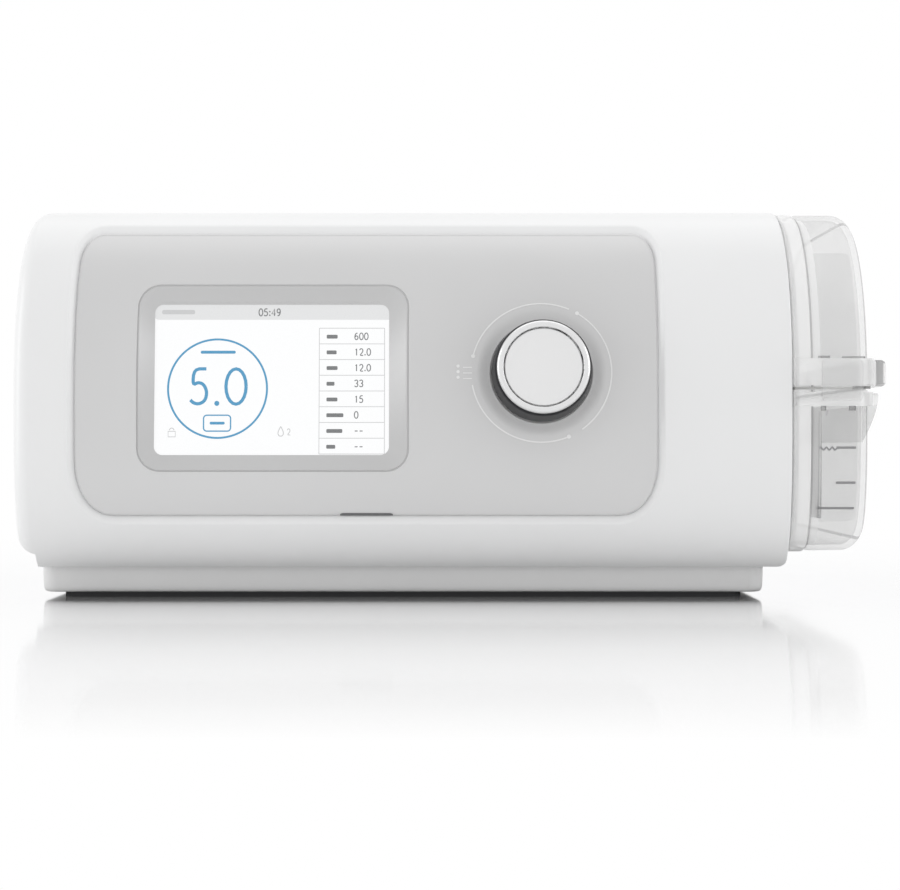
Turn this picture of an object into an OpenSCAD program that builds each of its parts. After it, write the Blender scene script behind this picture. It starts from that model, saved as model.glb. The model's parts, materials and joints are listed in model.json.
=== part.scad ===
// Bilevel PAP machine: loaf-shaped housing on a plinth, panel with display and knob,
// blower with a quiet intake, and a humidifier tank that slides out of the right end.
// Front faces -Y, the tank is on +X, the desk is z = 0.

/* [Housing] */
// Width of the housing without the tank
housing_w = 238; // [220:1:290]
// Depth of the housing
housing_d = 145; // [140:1:180]
// Height of the crown above the desk
housing_h = 123; // [120:1:150]
// Wall of the moulded shells
wall = 2.5; // [2:0.1:3]
// Height at which the front stands furthest out
belly_z = 60; // [55:1:65]
// How far the front curves back between belly and crown
crown_front = 48; // [40:1:54]
// How far the rear curves in between belly and crown
crown_rear = 45; // [35:1:50]
// Radius of the edge round the closed left end
end_r = 5.5; // [4:0.5:8]
// Radius of the curve under the left end
end_low_r = 7.5; // [4:0.5:10]
// How far the left end's underside is raised beside the plinth
end_low_h = 7.5; // [4:0.5:9]

/* [Plinth] */
// Inset of the plinth from the housing's ends
plinth_end = 5.9; // [4:0.1:12]
// Inset of the plinth from the housing's front and rear
plinth_side = 16; // [14:0.5:20]
// Height of the plinth's top above the desk
plinth_top = 9.6; // [8:0.1:12]
// Gap between the plinth and the desk
foot_gap = 1.5; // [1:0.1:3]
// Width of a rubber rail under the plinth
rail_w = 9; // [8:0.5:10]

/* [Panel] */
// Width of the front panel
panel_w = 177.2; // [170:0.1:214]
// Height of the front panel
panel_h = 88; // [80:0.1:90]
// Corner radius at the foot of the front panel
panel_r = 11.5; // [8:0.5:14]
// Corner radius at the head of the front panel
panel_top_r = 6.5; // [5:0.5:10]
// Distance from the housing's left end to the panel
panel_margin = 19.6; // [16:0.1:24]
// Height of the panel's centre above the desk
panel_z = 70.2; // [68:0.05:72]
// How far the panel lies under the housing's skin
panel_sink = 0.8; // [0.4:0.1:1.2]
// Gap round the panel
panel_gap = 0.5; // [0.3:0.1:0.8]

/* [Display] */
// Width of the funnel at the panel's face
funnel_w = 82.2; // [78:0.1:90]
// Height of the funnel at the panel's face
funnel_h = 57.2; // [52:0.1:60]
// Width of the visible screen opening
screen_w = 74; // [68:0.1:76]
// Height of the visible screen opening
screen_h = 49.4; // [44:0.1:50]
// Distance from the panel's left edge to the display's centre
display_in = 60.1; // [56:0.1:70]
// Lean of the display and the knob
face_tilt = 4; // [2:0.5:6]

/* [Knob] */
// Radius of the knob's skirt
knob_r = 15.25; // [13:0.05:18.4]
// Height of the knob over the face
knob_h = 15.6; // [12:0.1:19]
// Distance from the panel's right edge to the knob's axis
knob_in = 35.2; // [28:0.1:40]
// Radius of the knob's shaft
shaft_r = 3; // [2.5:0.1:3.6]
// Travel of the knob when pressed
knob_travel = 0.8; // [0.5:0.1:1]

/* [Start button] */
// Length of the start button
button_l = 34.4; // [28:0.1:42]
// Width of the start button
button_w = 13; // [10:0.1:14]
// Travel of the start button
button_travel = 0.7; // [0.4:0.1:1]

/* [Intake] */
// Radius of the intake cover
cover_r = 43; // [35:0.5:45]
// How far the intake cover stands out of the left end
cover_out = 5.1; // [3:0.1:7]
// Height of the intake's axis above the desk
cover_z = 64.6; // [62:0.1:66]

/* [Blower] */
// Radius of the impeller
impeller_r = 30; // [26:0.5:33]
// Number of impeller blades
blade_count = 11; // [7:1:15]
// Least gap between the impeller and the volute
volute_gap = 3; // [2:0.5:5]
// How much the volute's radius grows in one turn
volute_growth = 13; // [10:0.5:14]
// Outer radius of the air ducts
duct_r = 10; // [9:0.1:10.5]

/* [Tank] */
// How far the tank stands out of the housing's right end
tank_out = 24; // [18:0.1:30]
// How far the tank reaches into the dock
tank_in = 60.4; // [50:0.1:64]
// Wall of the clear tank
tank_wall = 2; // [1.6:0.1:2.4]
// Height of the tank's underside above the desk
tank_bottom = 13.6; // [12:0.1:17]
// Height at which the lid meets the tub
tank_split = 64.3; // [60:0.1:66]
// Travel of the tank when it is pulled out
tank_travel = 80; // [70:1:100]
// Outer radius of the hose outlet
outlet_r = 11; // [10:0.1:11.5]

/* [Hidden] */
$fn = 64;

eps = 0.01;
far = 400;
fit_gap = 0.3;

// Sides of the housing
x_left = -housing_w / 2;
x_right = housing_w / 2;
y_front = -housing_d / 2;
y_rear = housing_d / 2;
low_z = 6;
low_front = 30;
low_rear = 25;
power_front = 2.35;
power_low = 3;
power_rear = 3.2;
curve_steps = 12;
edge_r = 0.8;

// Plinth and floor
plinth_r = 5;
tray_floor = 2;
tray_top = foot_gap + tray_floor;
foot_sink = 0.8;
rail_in = 7;
rail_side = 0.9;

// Panel
panel_x0 = x_left + panel_margin;
panel_x1 = panel_x0 + panel_w;
panel_x = (panel_x0 + panel_x1) / 2;
panel_t = 2.4;
corner_stretch = 1.5;
corner_power = 2.2;
corner_steps = 10;
notch_w = 16.8;
notch_h = 1.7;
ledge_t = 2;
ledge_w = 3.4;
lip_steps = [[2.2, 0.35], [1.2, 0.75]];

// Face frame: origin on the panel's skin, z outward
face_z = 68.1;
face_y = y_front + panel_sink;
display_x = panel_x0 + display_in;
funnel_r = 6.7;
screen_r = 3;
window_z = -4.6;
window_t = 1.4;
window_rim = 2;
gasket_t = 0.8;
board_z = -11.4;
board_t = 1.6;
lcd_z = window_z - window_t - gasket_t;
board_x0 = panel_x0 + 8.4;
board_x1 = panel_x1 - 10.8;
board_half_h = 31;
board_screw_x = 5;
board_screw_y = 27;

// Knob, in the face frame
knob_x = panel_x1 - knob_in;
knob_y = 1.5;
dish_z = -2.6;
dish_gap = 0.95;
boss_back = -5.4;
boss_r = knob_r + 4.5;
bushing_r = shaft_r + 0.5;
nut_t = 1.8;
knob_base = -0.8;
hub_base = 0.3;
run_gap = 0.05;
encoder_half = 6.5;
rotor_z = -9.4;
rotor_t = 2.4;
rotor_r = 4.8;
ring_t = 1.7;
cap_t = 1;
ring_r = knob_r - 1.35;
cap_r = knob_r - 3.45;

// Start button
button_x = panel_x + 2.8;
button_y = -14.6;
button_drop = 0.5;
button_t = 3;
button_flange = 1.6;
switch_h = 2.6;
button_board_z = housing_h - 18;
stem_r = 2.5;
post_gap = 4.8;

// Intake
cover_y = -6.5;
cover_rim = 2.6;
skirt_r = cover_r - 3;
skirt_in = 5.5;
slot_rings = [[14, 6], [21, 8], [28, 10], [35, 12]];
slot_w = 2.6;
spoke_w = 3.4;

// Muffler box
box_x0 = x_left + 9;
box_x1 = box_x0 + 122;
box_step = 16;
box_y0 = y_front + 27.5;
box_y1 = y_rear - 28.5;
box_z0 = 18;
box_z1 = 58;
box_tall = 106;
box_wall = 2;
intake_r = 36;

// Blower
blower_x = x_left + 89;
blower_y = 5;
seal_h = 6;
volute_z0 = box_z1 + seal_h;
volute_h = 26;
volute_wall = 2;
volute_r0 = impeller_r + volute_gap;
volute_zm = volute_z0 + volute_h / 2;
eye_r = 14;
duct_wall = 2;
neck_y = blower_y - volute_r0 - volute_growth / 2 + 3.5;
neck_x = blower_x + impeller_r + 6;
neck_end = blower_x + 48;
motor_r = 16;
motor_h = 14;
motor_z = volute_z0 + volute_h;
spindle_r = 2;
mount_r = 31;

// Dock
tank_x0 = x_right - tank_in;
tank_y0 = y_front + 23.5;
tank_y1 = y_rear - 17.5;
tank_floor = 19.5;
tank_high = 101;
tank_gap = 0.4;
bay_gap = 0.6;
bay_wall = 2;
seal_room = 2.6;
bay_x0 = tank_x0 - seal_room - bay_wall;
bay_x1 = x_right - 1;
bay_floor = 15.5;
bay_top = tank_high + 2 + bay_wall;
flange_t = 2.5;
port_z = volute_zm;
inlet_y = neck_y;
return_y = 30;
bend_r = 20;
elbow_x = bay_x0 - 4 - bend_r;
seal_r = 12.5;
heater_in = 6;
heater_y = 9;
heater_lift = 2.7;
heater_lap = 3;
plate_t = 1;

// Outlet and sockets at the rear
outlet_out = 18;
outlet_flange_r = 15;
outlet_y0 = y_rear - 9;
collar_r = outlet_r + 1.2;
collar_out = 0.6;
power_y = y_rear - 16.5;
power_x0 = x_left + 27;
power_x1 = power_x0 + 72;
dc_x = power_x0 + 22;
dc_z = 34;
dc_r = 3.2;
dc_l = 9;
snout_r = 4.4;
data_x = power_x0 + 48;

// Tank, lid and hinge
tank_x1 = x_right + tank_out;
tank_left = x_right + tank_gap;
tank_edge_r = 6;
tank_low_r = 7.5;
rim_proud = 0.8;
rim_h = 4.2;
bar_z0 = tank_split + 1.3;
bar_h = 8.2;
bar_proud = 1;
tab_out = 7.6;
tab_half = 62;
tab_r = 5;
grip_h = 16;
grip_out = 5.2;
grip_half = 58;
lid_gap = 0.8;
lid_top_drop = 0.5;
hinge_y = y_rear + 4.7;
hinge_z = tank_split + 0.7;
hinge_r = 3;
pin_r = 1.5;
knuckle_x0 = tank_left + 3;
knuckle_w = 4;
clip_x0 = tank_x1 - 13.7;
clip_w = 12.5;
clip_z0 = 60.8;
clip_h = 12.7;
clip_t = 1.6;

// The frame's origin is the middle of the whole machine's base
x_min = x_left - cover_out;
x_max = tank_x1 + tab_out;
y_min = face_y - knob_h * cos(face_tilt) + knob_y * sin(face_tilt) - (ring_r - 1) * sin(face_tilt);
y_max = y_rear + outlet_out;
origin_x = (x_min + x_max) / 2;
origin_y = (y_min + y_max) / 2;

module place() translate([-origin_x, -origin_y, 0]) children();

// Signed power, for the superellipse quadrants
function spow(v, e) = v < 0 ? -pow(-v, e) : pow(v, e);
function quadrant(c, a, b, n, from, to, first) = [
    for (i = [first : curve_steps])
        let (t = from + (to - from) * i / curve_steps)
        [c[0] + a * spow(cos(t), 2 / n), c[1] + b * spow(sin(t), 2 / n)]
];

// Cross-section of the loaf in the YZ plane, from the belly over the crown and back underneath
function section(inset = 0, low = low_z, under = low_front) = concat(
    quadrant([y_front + crown_front, belly_z], crown_front - inset, housing_h - belly_z - inset,
        power_front, 180, 90, 0),
    quadrant([y_rear - crown_rear, belly_z], crown_rear - inset, housing_h - belly_z - inset,
        power_rear, 90, 0, 0),
    quadrant([y_rear - low_rear, belly_z], low_rear - inset, belly_z - low - inset,
        power_rear, 0, -90, 1),
    [for (p = quadrant([y_front + under, belly_z], under - inset, belly_z - low - inset,
        power_low, -90, -180, 0)) if (p[0] > y_front + inset + eps || p[1] < belly_z - eps) p]
);

// Skin between cross-sections at rising x
module loft(xs, rings) {
    n = len(rings[0]);
    m = len(rings);
    points = [for (k = [0 : m - 1]) for (p = rings[k]) [xs[k], p[0], p[1]]];
    sides = [
        for (k = [0 : m - 2]) for (i = [0 : n - 1])
            let (j = (i + 1) % n)
            each [[k * n + i, k * n + j, (k + 1) * n + j], [k * n + i, (k + 1) * n + j, (k + 1) * n + i]]
    ];
    first = [for (i = [n - 1 : -1 : 0]) i];
    last = [for (i = [0 : n - 1]) (m - 1) * n + i];
    polyhedron(points, concat([first], sides, [last]));
}

// How far a round edge of radius r draws in at distance t from the end
function edge_inset(t, r) = t >= r ? 0 : r - sqrt(r * r - (r - t) * (r - t));

module section_bar(inset, x0, x1, low = low_z) {
    translate([x0, 0, 0]) rotate([90, 0, 90]) linear_extrude(x1 - x0) polygon(section(inset, low));
}

// What is cut from the loaf beside the plinth, leaving a rounded corner
module end_cut(skin) {
    x0 = x_left + skin + end_low_r;
    z0 = low_z + skin + end_low_h;
    difference() {
        plate(x_left - 1, x_left + skin + plinth_end, -far, far, -1, z0 + end_low_r);
        rod_y(x0, z0 + end_low_r, end_low_r, -far - 1, far + 1);
        plate(x0, far, -far - 1, far + 1, z0, far);
    }
}

// The loaf as a solid, drawn in by a skin thickness, its right end at stop
module loaf(skin, stop) {
    steps = [0, 0.04, 0.12, 0.25, 0.45, 0.7, 1];
    ts = [for (s = steps) skin + (end_r - skin) * s];
    difference() {
        loft(concat([for (t = ts) x_left + t], [stop]),
            concat([for (t = ts) section(skin + edge_inset(t - skin, end_r - skin))], [section(skin)]));
        end_cut(skin);
    }
}

// Rounded rectangle in the XZ plane, run through the front half
module front_prism(x, z, w, h, r) {
    translate([x, 0, z]) rotate([90, 0, 0]) linear_extrude(far) rounded(w, h, r);
}

// Corner of the panel, higher than it is wide
function panel_corner(x, z, r, from) = [
    for (i = [0 : corner_steps])
        let (t = from + 90 * i / corner_steps)
        [x + r * spow(cos(t), 2 / corner_power), z + corner_stretch * r * spow(sin(t), 2 / corner_power)]
];

// The panel's outline, grown all round and run through the front half
module panel_prism(grow) {
    w = panel_w / 2;
    h = panel_h / 2;
    top = panel_top_r;
    low = panel_r;
    translate([panel_x, 0, panel_z]) rotate([90, 0, 0]) linear_extrude(far) polygon(concat(
        panel_corner(w - top, h + grow - corner_stretch * (top + grow), top + grow, 0),
        panel_corner(top - w, h + grow - corner_stretch * (top + grow), top + grow, 90),
        panel_corner(low - w, corner_stretch * (low + grow) - h - grow, low + grow, 180),
        panel_corner(w - low, corner_stretch * (low + grow) - h - grow, low + grow, 270)
    ));
}

module rounded(w, h, r) {
    for (sx = [-1, 1], sy = [-1, 1]) translate([sx * (w / 2 - r), sy * (h / 2 - r)]) circle(r);
    square([w, h - 2 * r], center = true);
    square([w - 2 * r, h], center = true);
}

module plate(x0, x1, y0, y1, z0, z1) translate([x0, y0, z0]) cube([x1 - x0, y1 - y0, z1 - z0]);

// Straight tube or rod between two heights, or along X or Y
module rod_z(x, y, r, z0, z1) translate([x, y, z0]) cylinder(r = r, h = z1 - z0);
module rod_x(y, z, r, x0, x1) translate([x0, y, z]) rotate([0, 90, 0]) cylinder(r = r, h = x1 - x0);
module rod_y(x, z, r, y0, y1) translate([x, y1, z]) rotate([90, 0, 0]) cylinder(r = r, h = y1 - y0);

module face() translate([0, face_y, face_z]) rotate([90 - face_tilt, 0, 0]) children();
module knob_face() face() translate([knob_x, knob_y, 0]) children();

// Housing
boss_xs = [x_left + 36, bay_x0 - 8];
boss_y = housing_d / 2 - plinth_side - 6;
boss_r_out = 3.4;
boss_top = 24;
screw_r = 1.5;
head_r = 2.8;
head_h = 2.2;
head_z = foot_gap + foot_sink + 0.4;
tray_post_top = 8;

module case_bosses(side) {
    for (x = boss_xs) {
        rod_z(x, side * boss_y, boss_r_out, tray_post_top, boss_top);
        y0 = side < 0 ? y_front + wall / 2 : boss_y;
        y1 = side < 0 ? -boss_y : y_rear - wall / 2;
        plate(x - 0.8, x + 0.8, y0, y1, plinth_top + 5, boss_top);
    }
}

module housing_shell() {
    difference() {
        loaf(0, x_right);
        loaf(wall, x_right + 1);
        plate(-far, far, -far, far, -1, plinth_top);
        rod_x(cover_y, cover_z, skirt_r + fit_gap, x_left - 1, x_left + wall + 2);
    }
}

module panel_pocket() {
    difference() {
        panel_prism(panel_gap);
        section_bar(panel_sink + panel_t, x_left - 1, x_right + 1);
    }
    for (s = lip_steps) difference() {
        panel_prism(panel_gap + s[0]);
        section_bar(s[1], x_left - 1, x_right + 1);
    }
}

module panel_ledge() {
    intersection() {
        difference() {
            panel_prism(ledge_w);
            panel_prism(-ledge_w);
        }
        difference() {
            section_bar(wall - 0.2, panel_x0 - ledge_w - 1, panel_x1 + ledge_w + 1);
            section_bar(panel_sink + panel_t + ledge_t, panel_x0 - ledge_w - 2, panel_x1 + ledge_w + 2);
        }
        plate(-far, far, -far, y_front + crown_front, -far, far);
    }
}

module pill(l, w, h) {
    linear_extrude(h) {
        for (s = [-1, 1]) translate([s * (l - w) / 2, 0]) circle(w / 2);
        square([l - w, w], center = true);
    }
}

module front_housing() color("white") place() {
    difference() {
        union() {
            intersection() {
                housing_shell();
                plate(-far, far, -far, 0, 0, far);
            }
            panel_ledge();
        }
        panel_pocket();
        translate([button_x, button_y, housing_h - 8]) pill(button_l + 2 * fit_gap, button_w + 2 * fit_gap, 16);
        for (x = boss_xs) rod_z(x, -boss_y, screw_r, 0, boss_top - 3);
    }
    difference() {
        intersection() {
            case_bosses(-1);
            loaf(wall / 2, x_right);
        }
        for (x = boss_xs) rod_z(x, -boss_y, screw_r, 0, boss_top - 3);
    }
    for (s = [-1, 1]) difference() {
        rod_z(button_x + s * (button_l / 2 + post_gap), button_y, stem_r, button_board_z + 1.6, housing_h - wall / 2);
        rod_z(button_x + s * (button_l / 2 + post_gap), button_y, 0.9, button_board_z, button_board_z + 8);
    }
}

module rear_housing() color("white") place() {
    difference() {
        union() {
            intersection() {
                housing_shell();
                plate(-far, far, 0, far, 0, far);
            }
            intersection() {
                case_bosses(1);
                loaf(wall / 2, x_right);
            }
            for (x = [power_x0 + 4, power_x1 - 4]) rod_y(x, 49, 3, power_y + 1.6, y_rear - wall / 2);
        }
        for (x = boss_xs) rod_z(x, boss_y, screw_r, 0, boss_top - 3);
        for (x = [power_x0 + 4, power_x1 - 4]) rod_y(x, 49, 1.1, power_y, power_y + 8);
        rod_y(elbow_x, port_z, collar_r + 0.2, y_rear - 8, y_rear + 2);
        rod_y(dc_x, dc_z, snout_r + 0.2, y_rear - 8, y_rear + 2);
        plate(data_x - 5, data_x + 5, y_rear - 8, y_rear + 2, dc_z - 2, dc_z + 2);
    }
}

module base_tray() color("gainsboro") place() {
    half_x = housing_w / 2 - plinth_end;
    half_y = housing_d / 2 - plinth_side;
    difference() {
        union() {
            difference() {
                translate([0, 0, foot_gap]) linear_extrude(plinth_top - foot_gap) rounded(2 * half_x, 2 * half_y, plinth_r);
                translate([0, 0, tray_top]) linear_extrude(far)
                    rounded(2 * (half_x - wall), 2 * (half_y - wall), plinth_r - wall);
            }
            for (x = boss_xs, s = [-1, 1]) rod_z(x, s * boss_y, boss_r_out + 1, foot_gap, tray_post_top);
            for (x = [bay_x0 + 6, bay_x1 - 9], y = [tank_y0 + 3, tank_y1 - 3]) rod_z(x, y, 3, foot_gap, bay_floor);
            for (x = [box_x0 + 14, box_x1 - 8], y = [box_y0 + 8, box_y1 - 8]) rod_z(x, y, 3, foot_gap, box_z0);
        }
        for (x = boss_xs, s = [-1, 1]) {
            rod_z(x, s * boss_y, screw_r + 0.2, 0, far);
            rod_z(x, s * boss_y, head_r + 0.2, 0, head_z + head_h);
        }
        rails(foot_sink + 1);
    }
}

// Two long rubber rails let into the plinth's underside, over the case screws
module rails(h, z = foot_gap - 1) {
    rail_l = housing_w - 2 * (plinth_end + rail_in);
    rail_y = housing_d / 2 - plinth_side - rail_side - rail_w / 2;
    for (s = [-1, 1]) translate([0, s * rail_y, z]) pill(rail_l, rail_w, h);
}

module feet() color("dimgray") place() rails(foot_gap + foot_sink, 0);

module case_screws() color("silver") place() {
    head_top = head_z + head_h;
    for (x = boss_xs, s = [-1, 1]) difference() {
        union() {
            rod_z(x, s * boss_y, head_r, head_top - head_h, head_top);
            rod_z(x, s * boss_y, screw_r - 0.03, head_top - eps, head_top + 14);
        }
        translate([x, s * boss_y, 0]) cylinder(r = 1.3, h = head_top - head_h + 1.2, $fn = 6);
    }
}

// Front panel, display and control board
module front_panel() color("darkgray") place() {
    difference() {
        union() {
            intersection() {
                panel_prism(0);
                difference() {
                    section_bar(panel_sink, panel_x0 - 1, panel_x1 + 1);
                    section_bar(panel_sink + panel_t, panel_x0 - 2, panel_x1 + 2);
                }
            }
            knob_face() translate([0, 0, boss_back]) cylinder(r = boss_r, h = dish_z - boss_back);
            intersection() {
                face() for (x = [board_x0 + board_screw_x, board_x1 - board_screw_x], y = [-1, 1])
                    translate([x, y * board_screw_y, board_z]) cylinder(r = 2.8, h = -board_z);
                section_bar(panel_sink + panel_t / 2, panel_x0, panel_x1);
            }
        }
        face() hull() {
            translate([display_x, 0, 2]) linear_extrude(0.1) rounded(funnel_w + 1.6, funnel_h + 1.6, funnel_r + 0.8, $fn = 32);
            translate([display_x, 0, window_z]) linear_extrude(0.1) rounded(screen_w, screen_h, screen_r, $fn = 32);
        }
        face() translate([display_x, 0, window_z - 20])
            linear_extrude(20) rounded(screen_w + 2 * window_rim, screen_h + 2 * window_rim, screen_r + 1);
        knob_face() translate([0, 0, dish_z]) cylinder(r1 = knob_r + dish_gap, r2 = knob_r + dish_gap + 4, h = 4);
        knob_face() translate([0, 0, -20]) cylinder(r = bushing_r + 0.1, h = 30);
        front_prism(panel_x, panel_z - panel_h / 2, notch_w, 2 * notch_h, notch_h * 0.6);
        face() for (x = [board_x0 + board_screw_x, board_x1 - board_screw_x], y = [-1, 1])
            translate([x, y * board_screw_y, board_z - 1]) cylinder(r = 1.1, h = 6);
    }
}

module display_window() color("lightcyan") place() face()
    translate([display_x, 0, window_z - window_t]) linear_extrude(window_t)
        rounded(screen_w + 2 * window_rim - 0.4, screen_h + 2 * window_rim - 0.4, screen_r + 0.8);

module lcd_gasket() color("black") place() face()
    translate([display_x, 0, lcd_z]) linear_extrude(gasket_t) difference() {
        rounded(screen_w + 2 * window_rim - 1, screen_h + 2 * window_rim - 1, screen_r);
        rounded(screen_w - 0.6, screen_h - 0.6, screen_r - 1);
    }

module lcd_module() color("white") place() face() {
    w = screen_w + 2 * window_rim - 1.4;
    h = screen_h + 2 * window_rim - 0.8;
    translate([display_x - w / 2, -h / 2, board_z]) cube([w, h, lcd_z - board_z]);
}

module control_board() color("seagreen") place() face() difference() {
    union() {
        translate([board_x0, -board_half_h, board_z - board_t])
            cube([board_x1 - board_x0, 2 * board_half_h, board_t]);
        translate([display_x - 18, -10, board_z - board_t - 1.4]) cube([14, 14, 1.4 + eps]);
        translate([display_x + 12, -16, board_z - board_t - 1.1]) cube([20, 8, 1.1 + eps]);
        for (i = [0 : 4]) translate([display_x + 46 + 7 * i, 12, board_z - board_t - 1.6]) cube([4, 4, 1.6 + eps]);
    }
    for (x = [board_x0 + board_screw_x, board_x1 - board_screw_x], y = [-1, 1])
        translate([x, y * board_screw_y, board_z - 3]) cylinder(r = 1.4, h = 6);
}

module board_screws() color("silver") place() {
    face() for (x = [board_x0 + board_screw_x, board_x1 - board_screw_x], y = [-1, 1])
        translate([x, y * board_screw_y, board_z - board_t]) {
            translate([0, 0, -1.4]) cylinder(r = 2.3, h = 1.4);
            translate([0, 0, -eps]) cylinder(r = 1.1, h = 5.5);
        }
    for (s = [-1, 1]) {
        x = button_x + s * (button_l / 2 + post_gap);
        rod_z(x, button_y, 1.8, button_board_z - 1.2, button_board_z);
        rod_z(x, button_y, 0.9, button_board_z - eps, button_board_z + 7);
    }
    for (x = [power_x0 + 4, power_x1 - 4]) {
        rod_y(x, 49, 2.3, power_y - 1.4, power_y);
        rod_y(x, 49, 1.1, power_y - eps, power_y + 7);
    }
}

// Knob and encoder
module encoder_body() color("dimgray") place() knob_face() difference() {
    union() {
        translate([-encoder_half, -encoder_half, board_z]) cube([2 * encoder_half, 2 * encoder_half, boss_back - board_z]);
        translate([0, 0, boss_back - eps]) cylinder(r = bushing_r, h = knob_base - boss_back + eps);
    }
    translate([0, 0, board_z + 0.6]) cylinder(r = rotor_r + 0.3, h = 4.6);
    translate([0, 0, board_z + 1]) cylinder(r = shaft_r + run_gap, h = 30);
}

module encoder_nut() color("silver") place() knob_face() translate([0, 0, dish_z]) difference() {
    cylinder(r = bushing_r + 2.6, h = nut_t, $fn = 6);
    translate([0, 0, -1]) cylinder(r = bushing_r, h = nut_t + 2, $fn = 64);
}

module encoder_rotor() color("gold") place() knob_face() translate([0, 0, rotor_z]) difference() {
    cylinder(r = rotor_r, h = rotor_t);
    translate([0, 0, -1]) cylinder(r = shaft_r + run_gap, h = rotor_t + 2);
    for (i = [0 : 19]) rotate(i * 18) translate([rotor_r, 0, -1]) cylinder(r = 0.35, h = rotor_t + 2, $fn = 24);
}

module knob_shaft() color("silver") place() knob_face()
    translate([0, 0, rotor_z - 0.3]) cylinder(r = shaft_r, h = knob_h - ring_t - 2 - rotor_z + 0.3);

module knob_skirt() color("black") place() knob_face() difference() {
    top = knob_h - ring_t;
    rotate_extrude() polygon([
        [0, hub_base], [shaft_r + 2.2, hub_base], [shaft_r + 2.2, top - 2.4], [knob_r - 2.4, top - 2.4],
        [knob_r - 2.4, knob_base], [knob_r - 0.5, knob_base], [knob_r, knob_base + 0.5],
        [knob_r, knob_base + 1.8], [knob_r - 0.9, top - 0.6], [ring_r, top], [0, top]
    ]);
    translate([0, 0, hub_base - 1]) cylinder(r = shaft_r, h = top - 2 - hub_base + 1);
}

module knob_ring() color("gainsboro") place() knob_face() translate([0, 0, knob_h - ring_t])
    rotate_extrude() polygon([
        [cap_r, 0], [ring_r, 0], [ring_r, 0.6], [ring_r - 0.5, ring_t - 0.4], [ring_r - 1, ring_t],
        [cap_r + 0.6, ring_t], [cap_r, ring_t - 0.5]
    ]);

module knob_cap() color("lightgray") place() knob_face() translate([0, 0, knob_h - ring_t])
    rotate_extrude() polygon(concat(
        [[0, 0], [cap_r - 0.03, 0], [cap_r - 0.03, cap_t]],
        [for (i = [10 : -1 : 0]) let (r = (cap_r - 0.6) * i / 10) [r, cap_t - 0.5 * (1 - pow(i / 10, 2))]]
    ));

// Start button in the crown
module start_button() color("whitesmoke") place() {
    top = housing_h - button_drop;
    difference() {
        translate([button_x, button_y, top - button_t]) pill(button_l, button_w, button_t);
        translate([button_x, 0, top + 109]) rotate([90, 0, 0]) cylinder(r = 110, h = far, center = true, $fn = 256);
    }
    translate([button_x, button_y, housing_h - wall - 0.2 - button_flange])
        pill(button_l + 2.4, button_w + 2.4, button_flange);
    rod_z(button_x, button_y, stem_r, button_board_z + 1.6 + switch_h + button_travel + 0.1, housing_h - wall - 1);
}

module button_board() color("seagreen") place() difference() {
    half = button_l / 2 + post_gap + 3.4;
    plate(button_x - half, button_x + half, button_y - 7, button_y + 7, button_board_z, button_board_z + 1.6);
    for (s = [-1, 1]) rod_z(button_x + s * (button_l / 2 + post_gap), button_y, 1.2, 0, far);
}

module button_switch() color("dimgray") place() {
    z = button_board_z + 1.6;
    plate(button_x - 3, button_x + 3, button_y - 3, button_y + 3, z, z + switch_h - 0.6);
    rod_z(button_x, button_y, 1.7, z + switch_h - 0.7, z + switch_h);
}

// Intake cover with rings of arc slots
module arc_slot(r, from, to) rotate(from) rotate_extrude(angle = to - from) translate([r - slot_w / 2, -1]) square([slot_w, 12]);

module filter_cover() color("lightgray") place() translate([x_left - cover_out, cover_y, cover_z]) rotate([0, 90, 0]) difference() {
    union() {
        rotate_extrude() polygon([
            [0, 0], [cover_r - cover_rim - 1.2, 0.5], [cover_r - 1.2, 1.6], [cover_r - 0.3, 2.8], [cover_r, 4],
            [cover_r, cover_out - 0.1], [skirt_r, cover_out - 0.1], [skirt_r, cover_out + skirt_in],
            [skirt_r - 1.6, cover_out + skirt_in], [skirt_r - 1.6, 2.6], [0, 2.2]
        ]);
    }
    for (ring = slot_rings, i = [0 : ring[1] - 1]) {
        gap = spoke_w / ring[0] * 180 / PI / 2;
        arc_slot(ring[0], i * 360 / ring[1] + gap, (i + 1) * 360 / ring[1] - gap);
    }
}

module intake_filter() color("white") place()
    rod_x(cover_y, cover_z, skirt_r - 1.8, x_left - cover_out + 2.7, x_left - cover_out + 6.2);

// Muffler box: tall behind the intake, low under the blower
function box_outline(t) = [
    [box_x0 + t, box_z0 + t], [box_x1 - t, box_z0 + t], [box_x1 - t, box_z1 - t],
    [box_x0 + box_step - t, box_z1 - t], [box_x0 + box_step - t, box_tall - t], [box_x0 + t, box_tall - t]
];

module box_profile(t, y0, y1) translate([0, y1, 0]) rotate([90, 0, 0]) linear_extrude(y1 - y0) polygon(box_outline(t));

module muffler_box() color("slategray") place() difference() {
    union() {
        box_profile(0, box_y0, box_y1);
        rod_x(cover_y, cover_z, intake_r + 1.6, box_x0 - 2.4, box_x0 + 1);
    }
    box_profile(box_wall, box_y0 + box_wall, box_y1 + 1);
    rod_x(cover_y, cover_z, intake_r, box_x0 - 4, box_x0 + box_wall + 1);
    rod_z(blower_x, blower_y, eye_r, box_z1 - box_wall - 1, box_z1 + 1);
}

module muffler_cover() color("slategray") place() {
    box_profile(0, box_y1, box_y1 + box_wall);
    box_profile(box_wall + fit_gap, box_y1 - 3, box_y1 + eps);
}

module muffler_foam() color("darkkhaki") place() {
    x0 = box_x0 + box_step - box_wall;
    x1 = box_x1 - box_wall;
    z0 = box_z0 + box_wall;
    z1 = box_z1 - box_wall;
    plate(x0, x1, box_y0 + box_wall, blower_y - eye_r - 4, z0, z1);
    plate(x0, x1, blower_y + eye_r + 4, box_y1 - 3, z0, z1);
}

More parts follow.
